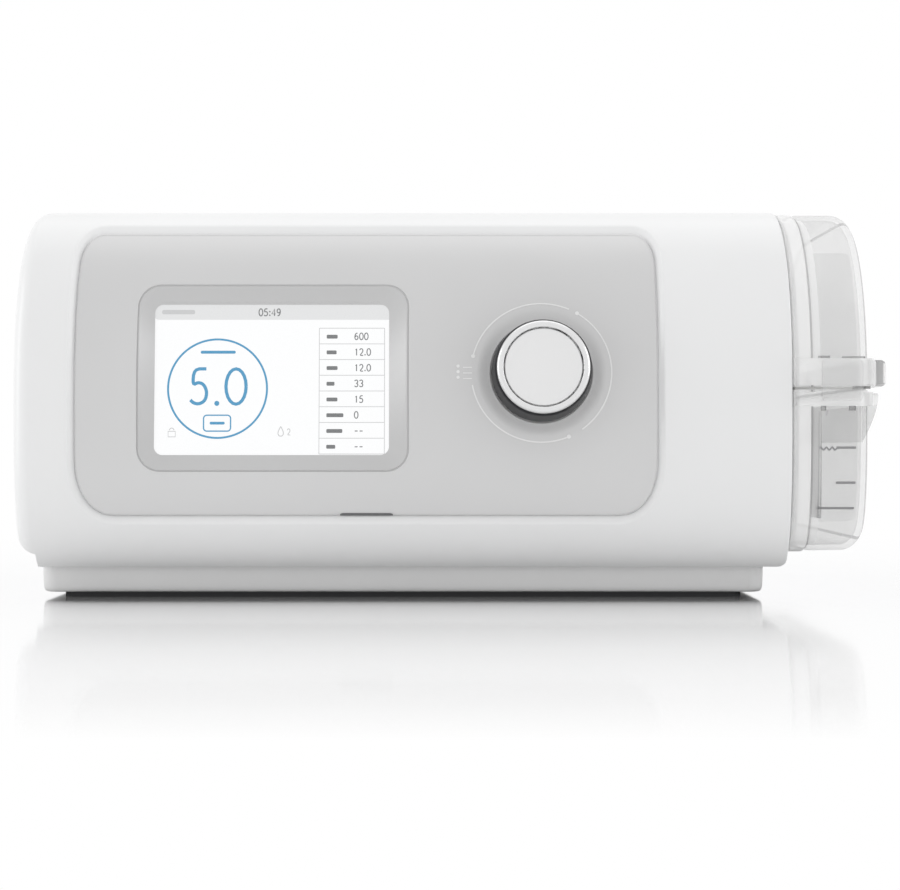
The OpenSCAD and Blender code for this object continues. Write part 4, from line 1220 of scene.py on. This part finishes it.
# Strokes of the digits in a unit box, as lists of points
DIGITS = {
    "0": [[(0.5 + 0.5 * math.cos(t), 0.5 + 0.5 * math.sin(t)) for t in
           [2 * math.pi * k / 20 for k in range(21)]]],
    "1": [[(0.25, 0.8), (0.55, 1.0), (0.55, 0.0)]],
    "2": [[(0.05, 0.78), (0.2, 0.95), (0.5, 1.0), (0.82, 0.93), (0.95, 0.73), (0.85, 0.5), (0.05, 0.0),
           (1.0, 0.0)]],
    "3": [[(0.05, 0.85), (0.3, 1.0), (0.7, 1.0), (0.93, 0.8), (0.8, 0.58), (0.45, 0.52), (0.85, 0.45),
           (0.97, 0.25), (0.75, 0.03), (0.3, 0.0), (0.03, 0.16)]],
    "4": [[(0.75, 0.0), (0.75, 1.0), (0.0, 0.28), (1.0, 0.28)]],
    "5": [[(0.9, 1.0), (0.2, 1.0), (0.12, 0.53), (0.42, 0.62), (0.75, 0.57), (0.95, 0.35), (0.85, 0.1),
           (0.5, 0.0), (0.18, 0.03), (0.0, 0.12)]],
    "6": [[(0.8, 0.95), (0.45, 0.98), (0.12, 0.68), (0.05, 0.3), (0.25, 0.03), (0.6, 0.0), (0.92, 0.18),
           (0.9, 0.45), (0.6, 0.6), (0.2, 0.5), (0.07, 0.35)]],
    "9": [[(0.2, 0.05), (0.55, 0.02), (0.88, 0.32), (0.95, 0.7), (0.75, 0.97), (0.4, 1.0), (0.08, 0.82),
           (0.1, 0.55), (0.4, 0.4), (0.8, 0.5), (0.93, 0.65)]],
    "-": [[(0.1, 0.45), (0.9, 0.45)]],
}


def rounded_path(points, rounds=2):
    """Softens the corners of a path by cutting them."""
    for _ in range(rounds):
        out = [points[0]]
        for k in range(len(points) - 1):
            a = points[k]
            b = points[k + 1]
            if k > 0:
                out.append((a[0] * 0.75 + b[0] * 0.25, a[1] * 0.75 + b[1] * 0.25))
            if k < len(points) - 2:
                out.append((a[0] * 0.25 + b[0] * 0.75, a[1] * 0.25 + b[1] * 0.75))
        out.append(points[-1])
        points = out
    return points


screen = Build()
PICTURE_HALF_W = 37.2
PICTURE_TOP = 24.9
PICTURE_LIFT = 0.05
TABLE_LIFT = 0.045
DIGIT_GAP = 0.35
ROW_STEP = 15.75


def show_line(points, width, slot, closed=False, lift=PICTURE_LIFT):
    facing_front(screen, stroke(points, width, on_screen, lift, closed), slot)


def show_plate(x0, x1, y0, y1, r, slot, lift=PICTURE_LIFT):
    facing_front(screen, plate(x0, x1, y0, y1, on_screen, lift, r), slot)


def show_dot(x, y, r, slot, n=24):
    facing_front(screen, disc(x, y, r, on_screen, PICTURE_LIFT, n), slot)


def show_number(text, x, y, height, width, line, slot):
    """Draws plain digits from x to the right on the screen, y their foot."""
    at = x
    for letter in text:
        if letter in ".:":
            heights = (line * 0.6, height * 0.6) if letter == ":" else (line * 0.6,)
            for up in heights:
                show_dot(at + line * 0.6, y + up, line * 0.72, slot, 12)
            at += line * 1.2 + DIGIT_GAP * width
            continue
        for path in DIGITS[letter]:
            soft = path if letter in "0-14" else rounded_path(path)
            show_line([(at + u * width, y + v * height) for u, v in soft], line, slot)
        at += width * (1 + DIGIT_GAP)


def px(x):
    """Place across the screen, in mm from its middle, of a column of the layout."""
    return (x - 274.14) / 3.2533


def py(y):
    """Place up the screen, in mm from its middle, of a row of the layout."""
    return (379.0 - y) / 3.2455


show_plate(-PICTURE_HALF_W, PICTURE_HALF_W, -PICTURE_TOP, PICTURE_TOP, 2.0, PAPER, 0.02)
show_plate(-PICTURE_HALF_W, PICTURE_HALF_W, py(319.5), PICTURE_TOP, 1.6, HEADER, 0.035)
show_line(arc_points(px(217.6), py(388.6), 15.2, 0, 360, 120)[:-1], 0.62, BLUE, True)
show_number("5", px(190.5), py(404.2), 10.9, 5.4, 1.02, BLUE)
show_dot(px(217.0), py(403.4), 0.78, BLUE)
show_number("0", px(226.0), py(404.2), 10.9, 6.2, 1.02, BLUE)
badge = [(px(217.4) + u, py(423.2) + v) for u, v in rounded_rect(8.3, 4.9, 1.0, 5, 0)]
show_line(badge, 0.42, BLUE, True)
show_plate(px(210.0), px(225.0), py(424.6), py(421.8), 0.4, BLUE)
show_plate(px(200.5), px(235.5), py(353.6), py(350.6), 0.4, BLUE)
show_number("05:49", px(258.6), py(315.6), 2.2, 1.15, 0.34, GREY)
show_plate(px(161.5), px(194.5), py(314.0), py(309.6), 0.5, PALE)
table_x0 = px(319.2)
table_x1 = px(384.5)
for k in range(9):
    y = py(328.0 + ROW_STEP * k)
    show_line([(table_x0, y), (table_x1, y)], 0.22, PALE, lift=TABLE_LIFT)
for x in (table_x0, table_x1):
    show_line([(x, py(328.0)), (x, py(454.0))], 0.22, PALE, lift=TABLE_LIFT)
TABLE = (("600", 11), ("12.0", 10), ("12.0", 11), ("33", 8), ("15", 11), ("0", 17), ("--", 16), ("--", 9))
for k, (text, bar_length) in enumerate(TABLE):
    foot = py(339.6 + ROW_STEP * k)
    show_plate(px(326.5), px(326.5 + bar_length), foot + 0.35, foot + 1.55, 0.3, GREY)
    show_number(text, px(354.5), foot, 2.1, 1.12, 0.32, GREY)
lock = Vector((px(172.2), py(432.0)))
lock_body = [(lock.x + u, lock.y + v) for u, v in ((-1.1, -1.5), (1.1, -1.5), (1.1, 0.2), (-1.1, 0.2))]
show_line(lock_body, 0.3, PALE, True)
show_line(arc_points(lock.x, lock.y + 0.5, 0.7, 0, 180, 10), 0.28, PALE)
DROP = ((0.0, 1.6), (-0.95, -0.3), (-0.6, -1.4), (0.6, -1.4), (0.95, -0.3), (0.0, 1.6))
drop = Vector((px(281.0), py(431.6)))
show_line(rounded_path([(drop.x + u, drop.y + v) for u, v in DROP]), 0.28, PALE)
show_number("2", px(287.4), py(435.0), 1.9, 0.95, 0.28, PALE)
place_piece(screen.make("screen_picture", SCREEN_LOOKS), "machine", "screen_white")


# Knob


def lathe(profile, put, n=128):
    """Rows of a turned shape; profile is (radius, height) from the middle outwards."""
    return [[put(r, 2 * math.pi * i / n, h) for i in range(n)] for r, h in profile]


def knob_point(r, a, h):
    return face_point(KNOB_X + r * math.cos(a), KNOB_Y + r * math.sin(a), h)


def turned(name, points, radii, material, slot, node):
    """A turned piece of the knob from its profile and the rounding at each corner."""
    build = Build().add(*loft(lathe(rounded_profile(points, radii), knob_point)), angle=40)
    place_piece(build.make(name, [material]), "knob", slot, node)


turned("knob_skirt_turned",
       [(0.4, SKIRT_TOP), (RING_R - 0.1, SKIRT_TOP), (KNOB_R - 0.75, SKIRT_TOP - 1.1),
        (KNOB_R, KNOB_BASE + 1.6), (KNOB_R, KNOB_BASE), (KNOB_R - 2.4, KNOB_BASE), (KNOB_R - 2.4, 11.4),
        (5.2, 11.4), (5.2, 0.3), (0.4, 0.3)],
       [0, 0.3, 1.0, 1.2, 0.35, 0.3, 0.5, 0.5, 0.3, 0], BLACK, "knob_black", "knob_skirt")
turned("knob_ring_turned",
       [(CAP_R + 0.15, SKIRT_TOP), (CAP_R + 0.15, KNOB_TOP - 0.25), (CAP_R + 0.75, KNOB_TOP),
        (RING_R - 0.6, KNOB_TOP - 0.1), (RING_R, KNOB_TOP - 0.8), (RING_R, SKIRT_TOP)],
       [0, 0.25, 0.4, 0.6, 0.4, 0], RING, "knob_chrome", "knob_ring")
turned("knob_cap_turned",
       [(0.4, CAP_TOP - 0.25), (CAP_R - 1.6, CAP_TOP - 0.1), (CAP_R - 0.35, CAP_TOP),
        (CAP_R - 0.1, SKIRT_TOP), (0.4, SKIRT_TOP)],
       [0, 1.2, 0.3, 0, 0], CAP, "knob_grey", "knob_cap")


# Plinth

PLINTH_STEPS = ((0.0, 5.0, PLINTH_TOP), (-0.05, 5.0, 6.4), (-0.15, 5.0, 3.6), (-0.3, 5.0, 2.6),
                (-0.5, 4.9, 2.0), (-0.85, 4.7, 1.66), (-1.3, 4.4, 1.5))
rings = []
for grow, r, z in PLINTH_STEPS:
    outline = rounded_line(2 * 113.1 + 2 * grow, 2 * 56.5 + 2 * grow, r, 10)
    rings.append([(x, y, z) for x, y in outline])
tray = Build().add(*loft(rings), angle=40)
place_piece(tray.make("plinth_moulding", [TRAY]), "machine", "tray_grey", "base_tray")


# Start button

BUTTON_STEPS = ((6.1, 0.7), (4.0, 0.55), (1.8, 0.2), (0.8, 0.0), (0.25, 0.12), (0.0, 0.6), (0.0, 3.0))
button_rows = []
for inset, below in BUTTON_STEPS:
    outline = pill_outline(BUTTON_X, BUTTON_Y, BUTTON_L - 2 * inset, BUTTON_W - 2 * inset, 24)
    button_rows.append([(x, y, BUTTON_TOP - below) for x, y in outline])
verts, faces = sheet_mesh(button_rows)
n = len(button_rows[0])
faces.append(tuple(range(n)))
faces.append(tuple(range((len(button_rows) - 1) * n, len(button_rows) * n)))
button = Build().add(*outward(verts, faces), angle=50)
place_piece(button.make("start_button_cap", [BUTTON]), "start", "button_white", "start_button")


# Filter cover


def cover_point(r, a, h):
    return Vector((COVER_X + h, COVER_Y + r * math.cos(a), COVER_Z + r * math.sin(a)))


SLOT_RINGS = ((14, 6), (21, 8), (28, 10), (35, 12))
SLOT_HALF_W = 1.3
SLOT_BRIDGE = 3.4


def ring_slots():
    """Cutters for the rings of curved air slots."""
    tools = []
    for radius, count in SLOT_RINGS:
        gap = SLOT_BRIDGE / radius * 180 / math.pi / 2
        for k in range(count):
            start = k * 360 / count + gap
            stop = (k + 1) * 360 / count - gap
            outer = arc_points(0, 0, radius + SLOT_HALF_W, start, stop, 14)
            inner = arc_points(0, 0, radius - SLOT_HALF_W, stop, start, 14)
            line = [(COVER_Y + u, COVER_Z + v) for u, v in outer + inner]
            tools.append(prism_x(line, COVER_X - 2, COVER_X + 8))
    return tools


cover_profile = rounded_profile(
    [(0.4, 0.5), (8.0, 0.45), (38.0, 0.75), (COVER_R - 0.9, 1.6), (COVER_R, 3.8), (COVER_R, 5.0), (40.3, 5.0),
     (40.3, 9.5), (38.7, 9.5), (38.7, 2.9), (0.4, 2.6)],
    [0, 0, 2.5, 1.2, 0.8, 0.3, 0.0, 0.3, 0.3, 0.6, 0])
verts, faces = combine(loft(lathe(cover_profile, cover_point, 144)), ring_slots())
cover = Build().add(verts, faces, angle=30)
place_piece(cover.make("filter_cover_disc", [COVER]), "intake_cover", "cover_grey", "filter_cover")


# Water tank


def tank_section(inset, low):
    return whole_section(inset + TANK_DROP, low, TANK_UNDER, 26)


def block_rings(skin, shoulders):
    """Rings of the tank's block: (x, inset) shoulders, then the round right end."""
    rings = [ring_at(x, tank_section(inset, TANK_BOTTOM)) for x, inset in shoulders]
    last = shoulders[-1][1]
    steps = 10
    r = TANK_EDGE_R - last
    low_r = TANK_LOW_R - last
    end = TANK_RIGHT - skin
    for k in range(steps + 1):
        a = math.radians(90 * k / steps)
        x = end - r + r * math.sin(a)
        low = TANK_BOTTOM + edge_inset(end - x, low_r) - edge_inset(end - x, r)
        rings.append(ring_at(x, tank_section(last + r * (1 - math.cos(a)), low)))
    return rings


def band(proud, x1, z0, z1):
    """A band round the tank that stands proud of it, with a softened end."""
    steps = ((TANK_LEFT, 0.3), (TANK_LEFT + 0.3, 0.0), (x1 - 2.2, 0.0), (x1 - 1.1, 0.35), (x1 - 0.3, 1.2),
             (x1, 2.2))
    rings = [ring_at(x, whole_section(inset - proud, LOW_Z, LOW_FRONT, 26)) for x, inset in steps]
    return combine(loft(rings), [slab(z0, z1)], "INTERSECT")


def soft_box(x0, x1, y0, y1, z0, z1, r, steps=4, soft=0.35):
    """A block with rounded upright edges and softened rims."""
    rings = []
    cx = (x0 + x1) / 2
    cy = (y0 + y1) / 2
    for z, inset in ((z0, soft), (z0 + 0.35 * soft, 0.3 * soft), (z0 + soft, 0.0), (z1 - soft, 0.0),
                     (z1 - 0.35 * soft, 0.3 * soft), (z1, soft)):
        outline = rounded_rect(x1 - x0 - 2 * inset, y1 - y0 - 2 * inset, max(0.2, r - inset), steps, 0)
        rings.append([(cx + u, cy + v, z) for u, v in outline])
    return loft(rings)


def middle(verts, face):
    return sum((Vector(verts[i]) for i in face), Vector((0, 0, 0))) / len(face)


def inner_face(center, normal):
    """True on the inside of the tank's outer walls."""
    found = skin_normal(center, TANK_DROP + TANK_WALL)[0]
    return found is not None and found.dot(normal) < 0


def in_shade(c):
    """Places given painted shade, where thick clear plastic looks dark: the tab's corners and the ribs."""
    if 146.4 < c.x < 149.4 and abs(c.y) > TAB_HALF - TAB_R:
        return True
    return any(x0 < c.x < x1 and z0 < c.z < z1 and c.y < -68.5 for x0, x1, z0, z1 in RIB_ZONES)


def tank_slot(verts, face, z0, z1, bar0, bar1):
    """Number of a face's material in TANK_LOOKS; the window, the groove and the edge line get darker tints,
    painted shade.
    """
    c = middle(verts, face)
    if c.x < FLANGE_X - 0.02:
        return FROST_SLOT if c.x > TANK_LEFT - 0.01 else CLEAR_SLOT
    if c.x < GROOVE_X:
        return GROOVE_SHADE_SLOT
    if in_shade(c):
        return SHADE_SLOT
    if inner_face(c, face_normal(verts, face)):
        return PAINTED_DIM_SLOT if 128.0 < c.x < 139.4 and z0 < c.z < z1 else CLEAR_SLOT
    if c.x > TANK_RIGHT + 0.3 or bar0 < c.z < bar1:
        return BAR_SLOT
    return GROOVE_SHADE_SLOT if 141.8 < c.x < 142.4 else CLEAR_SLOT


def tank_build(solid, cutters, *ranges):
    """The solid less its cutters, with a look for each face."""
    build = Build()
    verts, faces = combine(solid, cutters)
    normals = corner_normals(verts, faces, 32)
    at = 0
    for face in faces:
        own = normals[at:at + len(face)]
        at += len(face)
        corners = [verts[i] for i in face]
        build.add(corners, [tuple(range(len(face)))], own, slot=tank_slot(verts, face, *ranges))
    return build


def knuckle(x0, x1, foot, head):
    """A barrel on the hinge's pin and the web that holds it."""
    return [tube_x(HINGE_Y, HINGE_Z, KNUCKLE_R, x0, x1, 40), box_mesh(x0, x1, 70.5, HINGE_Y, foot, head)]


OUTER_SHOULDERS = [(TANK_LEFT, 0.6), (TANK_LEFT + 0.3, 0.12), (TANK_LEFT + 0.8, 0.0), (FLANGE_X - 0.9, 0.0),
                   (FLANGE_X - 0.3, 0.18), (FLANGE_X, 0.6), (FLANGE_X + 0.02, 1.0), (GROOVE_X, 1.0),
                   (GROOVE_X + 0.4, 0.45), (126.4, 0.4), (126.9, 0.35), (127.4, 0.35), (128.0, 0.35)]
INNER_SHOULDERS = [(TANK_LEFT + TANK_WALL, TANK_WALL), (128.0, TANK_WALL)]
# Ribs in the shade look, painted shade; the last lid rib sits in the gap between lid and tub to darken it
LID_RIBS = [(127.0, 130.4, -71.6, -69.2, 73.5, 74.6), (134.2, 141.2, -71.4, -69.2, 73.5, 74.4),
            (137.2, 142.4, -73.4, -72.2, 64.45, 65.3)]
TUB_RIBS = [(127.6, 129.0, -73.1, -71.0, 57.9, 59.4), (136.2, 138.0, -73.1, -71.0, 57.9, 59.4)]
RIB_ZONES = [(126.9, 130.5, 73.85, 74.7), (134.1, 141.3, 73.85, 74.5), (137.1, 142.5, 64.4, 65.09),
             (127.5, 129.1, 57.8, 59.29), (136.1, 138.1, 57.8, 59.29)]
outer_block = loft(block_rings(0.0, OUTER_SHOULDERS))
inner_block = loft(block_rings(TANK_WALL, INNER_SHOULDERS))
pin_hole = tube_x(HINGE_Y, HINGE_Z, PIN_HOLE_R, KNUCKLE_X - 1, TANK_RIGHT, 32)

lid_solid = combine(outer_block, [slab(-10, LID_Z0)])
lid_solid = combine(lid_solid, [
    band(BAR_PROUD, TANK_RIGHT + BAR_PROUD, BAR_Z0, BAR_Z0 + BAR_H),
    soft_box(TANK_RIGHT - 2, TAB_X, -TAB_HALF, TAB_HALF, BAR_Z0 + 0.05, BAR_Z0 + BAR_H - 0.05, TAB_R, 8, 1.0),
] + knuckle(KNUCKLE_X + 4.3, KNUCKLE_X + 11.7, BAR_Z0 + 0.1, HINGE_Z + KNUCKLE_R)
  + [box_mesh(*rib) for rib in LID_RIBS], "UNION")
lid_cut = box_mesh(TANK_LEFT - 1, TANK_LEFT + TANK_WALL + 1, INNER_Y0 + 2, INNER_Y1 - 2, 0, CHAMBER_TOP - 2)
lid = tank_build(lid_solid, [inner_block, lid_cut, pin_hole], 66.0, 107.0, BAR_Z0 - 0.6, BAR_Z0 + BAR_H + 0.1)
place_piece(lid.make("tank_lid_dome", TANK_LOOKS), "lid", "lid_clear", "tank_lid")


def fin_mesh():
    """The lip under the lid's tab, curving back into the tank's end."""
    top = RIM_Z1
    line = [(TANK_RIGHT - 1.2, top), (TANK_RIGHT + FIN_OUT - 0.4, top), (TANK_RIGHT + FIN_OUT, top - 0.5)]
    for k in range(1, 11):
        a = k / 10
        line.append((TANK_RIGHT + FIN_OUT * (1 - a ** 1.7) - 0.25 * a, top - 0.5 - 15.3 * a))
    line.append((TANK_RIGHT - 1.2, top - 15.8))
    return prism_y(line, -FIN_HALF, FIN_HALF)


tub_solid = combine(outer_block, [slab(TANK_SPLIT, 200)])
knuckles = []
for x in (KNUCKLE_X, KNUCKLE_X + 12.0):
    knuckles += knuckle(x, x + 4, HINGE_Z - KNUCKLE_R, RIM_Z1 - 0.05)
tub_solid = combine(tub_solid, [
    box_mesh(INNER_X0, TANK_LEFT + 1, INNER_Y0, INNER_Y1, FLOOR_Z, TANK_SPLIT),
    band(RIM_PROUD, TANK_RIGHT + RIM_PROUD, RIM_Z0, RIM_Z1),
    fin_mesh(),
] + knuckles + [box_mesh(*rib) for rib in TUB_RIBS], "UNION")
cavity = box_mesh(INNER_X0 + 2, TANK_LEFT + TANK_WALL + 1, INNER_Y0 + 2, INNER_Y1 - 2, FLOOR_Z + 2, 200)
heater_hole = box_mesh(64.6, 112.0, -40.0, 46.0, FLOOR_Z - 2, FLOOR_Z + 4)
tub_cuts = [inner_block, cavity, heater_hole, pin_hole]
tub = tank_build(tub_solid, tub_cuts, 24.0, 58.5, RIM_Z0 - 0.1, RIM_Z1 + 0.9)
place_piece(tub.make("tank_tub_clear", TANK_LOOKS), "tank", "tank_clear", "tank_tub")

# A rib inside the tub's front, seen edge on beside the groove, where its strong dimming at grazing draws a
# dark line, painted shade
RIB_Y = -69.9
rib_line = arc_points(-59.5, 27.5, 2.5, 270, 360, 8) + arc_points(-59.5, 56.5, 2.5, 0, 90, 8)
rib_line += [(RIB_Y, 59.0)]
rib_line += [(RIB_Y - 0.75 * math.sin(math.pi * k / 8), 59.0 - 34.0 * k / 8) for k in range(1, 8)]
rib_line += [(RIB_Y, 25.0)]
rib = Build().add(*prism_x(rib_line, 127.3, 128.1), angle=40)
place_piece(rib.make("tub_rib_clear", [RIB]), "tank", "tank_clear")


# Level lines on the tub's front


def tank_front(z):
    """Front face of the tub at height z below the belly."""
    inset = TANK_DROP + 0.35
    w = min(1.0, abs(z - BELLY_Z) / (BELLY_Z - TANK_BOTTOM - inset))
    return Y_FRONT + TANK_UNDER - (TANK_UNDER - inset) * (1 - w ** POWER_LOW) ** (1 / POWER_LOW)


def on_tub(x, z, lift):
    return Vector((x, tank_front(z) - lift, z))


levels = Build()
wave = [(127.2 + 5.2 * k / 24, 46.3 + 0.45 * math.sin(2 * math.pi * k / 8)) for k in range(25)]
LEVELS = (([(132.4, 46.6), (138.4, 46.6)], 0.75), ([(132.4, 35.9), (138.4, 35.9)], 0.75),
          ([(126.8, 28.1), (138.2, 28.1)], 0.75), (wave, 0.5))
for line, width in LEVELS:
    facing_front(levels, stroke(line, width, on_tub, 0.04))
place_piece(levels.make("level_lines", [PRINT_LEVEL]), "tank", "tank_clear")

clip_line = [(133.75 + u, 67.15 + v) for u, v in rounded_line(12.3, 12.6, 1.4, 6)]
clip = Build().add(*prism_y(clip_line, -75.09, -73.55), angle=30)
place_piece(clip.make("lid_clip_plate", [CLIP]), "lid", "lid_clear", "lid_clip")


# Surroundings


# Half the size of the object's base on the floor, in metres
BASE_HALF = (0.112, 0.056, 0.0)


def footprint_distance(tree):
    """Distance on the floor from the object's base, in metres."""
    made = add_node(tree, "VectorMath", {0: own_place(tree)}, operation="ABSOLUTE")
    made = add_node(tree, "VectorMath", {0: made, 1: BASE_HALF}, operation="SUBTRACT")
    made = add_node(tree, "VectorMath", {0: made, 1: (0.0, 0.0, 0.0)}, operation="MAXIMUM")
    return add_node(tree, "VectorMath", {0: made}, "Value", operation="LENGTH")


def ramp(tree, source, reach, stops):
    """Maps 0 to reach onto values by straight runs between stops of (part, value)."""
    part = add_node(tree, "Math", {0: source, 1: reach}, operation="DIVIDE", use_clamp=True)
    colour = add_node(tree, "ValToRGB", {"Fac": part}, "Color")
    points = colour.node.color_ramp.elements
    while len(points) < len(stops):
        points.new(0.5)
    for point, (place, value) in zip(points, stops):
        point.position = place
        point.color = (value, value, value, 1)
    return colour


def any_ray(tree, *kinds):
    """1 on rays of the kinds named, 0 on others."""
    rays = add_node(tree, "LightPath").node
    found = rays.outputs[kinds[0]]
    for kind in kinds[1:]:
        found = add_node(tree, "Math", {0: found, 1: rays.outputs[kind]}, operation="MAXIMUM")
    return found


# Painted shade: the floor's colour for bounced light, darkest at the object's base
PAINTED_FLOOR_SHADE_STOPS = [(0.0, 0.3), (0.15, 0.75), (0.35, 0.95), (1.0, 0.97)]
GLOW_STOPS = [(0.0, 0.6), (0.3, 0.78), (1.0, 1.0)]
MIRROR_STOPS = [(0.0, 0.97), (0.08, 0.9), (0.17, 0.68), (0.28, 0.5), (0.5, 0.42), (0.85, 0.22), (1.0, 0.0)]
PURE_WHITE = (1, 1, 1, 1)


def floor_material():
    """White studio floor that keeps the object's shadow and a fading reflection; for the light it bounces,
    its colour is painted darker near the object's base, painted shade.
    """
    material, tree = new_material("studio_floor")
    away = footprint_distance(tree)
    base = add_node(tree, "BsdfDiffuse", {"Color": ramp(tree, away, 0.12, PAINTED_FLOOR_SHADE_STOPS)})
    shade = add_node(tree, "BsdfDiffuse", {"Color": (0.9, 0.9, 0.9, 1)})
    gloss = add_node(tree, "BsdfGlossy", {"Color": (0.97, 0.97, 0.975, 1), "Roughness": 0.08})
    glow = add_node(tree, "Emission", {"Color": PURE_WHITE, "Strength": 1.0})
    shaded = mixed(tree, ramp(tree, away, 0.16, GLOW_STOPS), shade, glow)
    mirror = mixed(tree, ramp(tree, away, 0.3, MIRROR_STOPS), shaded, gloss)
    seen = any_ray(tree, "Is Camera Ray", "Is Transmission Ray")
    add_node(tree, "OutputMaterial", {"Surface": mixed(tree, seen, base, mirror)})
    return material


floor_data = bpy.data.meshes.new("floor")
floor_data.from_pydata([(-6, -6, 0), (6, -6, 0), (6, 6, 0), (-6, 6, 0)], [], [(0, 1, 2, 3)])
floor_data.materials.append(floor_material())
floor = bpy.data.objects.new("floor", floor_data)
bpy.context.scene.collection.objects.link(floor)

world = bpy.data.worlds.new("studio")
bpy.context.scene.world = world
world.use_nodes = True
tree = world.node_tree
tree.nodes.clear()
backdrop = add_node(tree, "Background", {"Color": PURE_WHITE, "Strength": 1.0})
ambient = add_node(tree, "Background", {"Color": PURE_WHITE, "Strength": 0.89})
seen = any_ray(tree, "Is Camera Ray", "Is Glossy Ray", "Is Transmission Ray")
add_node(tree, "OutputWorld", {"Surface": mixed(tree, seen, ambient, backdrop)})


def lamp(name, place, target, size, power):
    data = bpy.data.lights.new(name, "AREA")
    data.shape = "RECTANGLE"
    data.size, data.size_y = size
    data.energy = power
    item = bpy.data.objects.new(name, data)
    bpy.context.scene.collection.objects.link(item)
    item.location = place
    item.rotation_euler = (Vector(target) - Vector(place)).to_track_quat("-Z", "Y").to_euler()


lamp("key_top", (0.0, 0.3, 1.05), (0, 0.0, 0.0), (1.3, 0.9), 2.0)
for name, x in (("side_left", -1.2), ("side_right", 1.2)):
    lamp(name, (x, -0.12, 0.25), (0, 0, 0.06), (0.45, 0.9), 2.6)

camera_data = bpy.data.cameras.new("camera")
camera = bpy.data.objects.new("camera", camera_data)
bpy.context.scene.collection.objects.link(camera)
camera_data.sensor_width = 36.0
camera_data.lens = 78.95
camera.location = ((14.756 - SHIFT_X) / 1000, (-672.5 - SHIFT_Y) / 1000, 0.0474)
camera.rotation_euler = (math.radians(90), 0, 0)
bpy.context.scene.camera = camera
bpy.context.scene.view_settings.view_transform = "Standard"
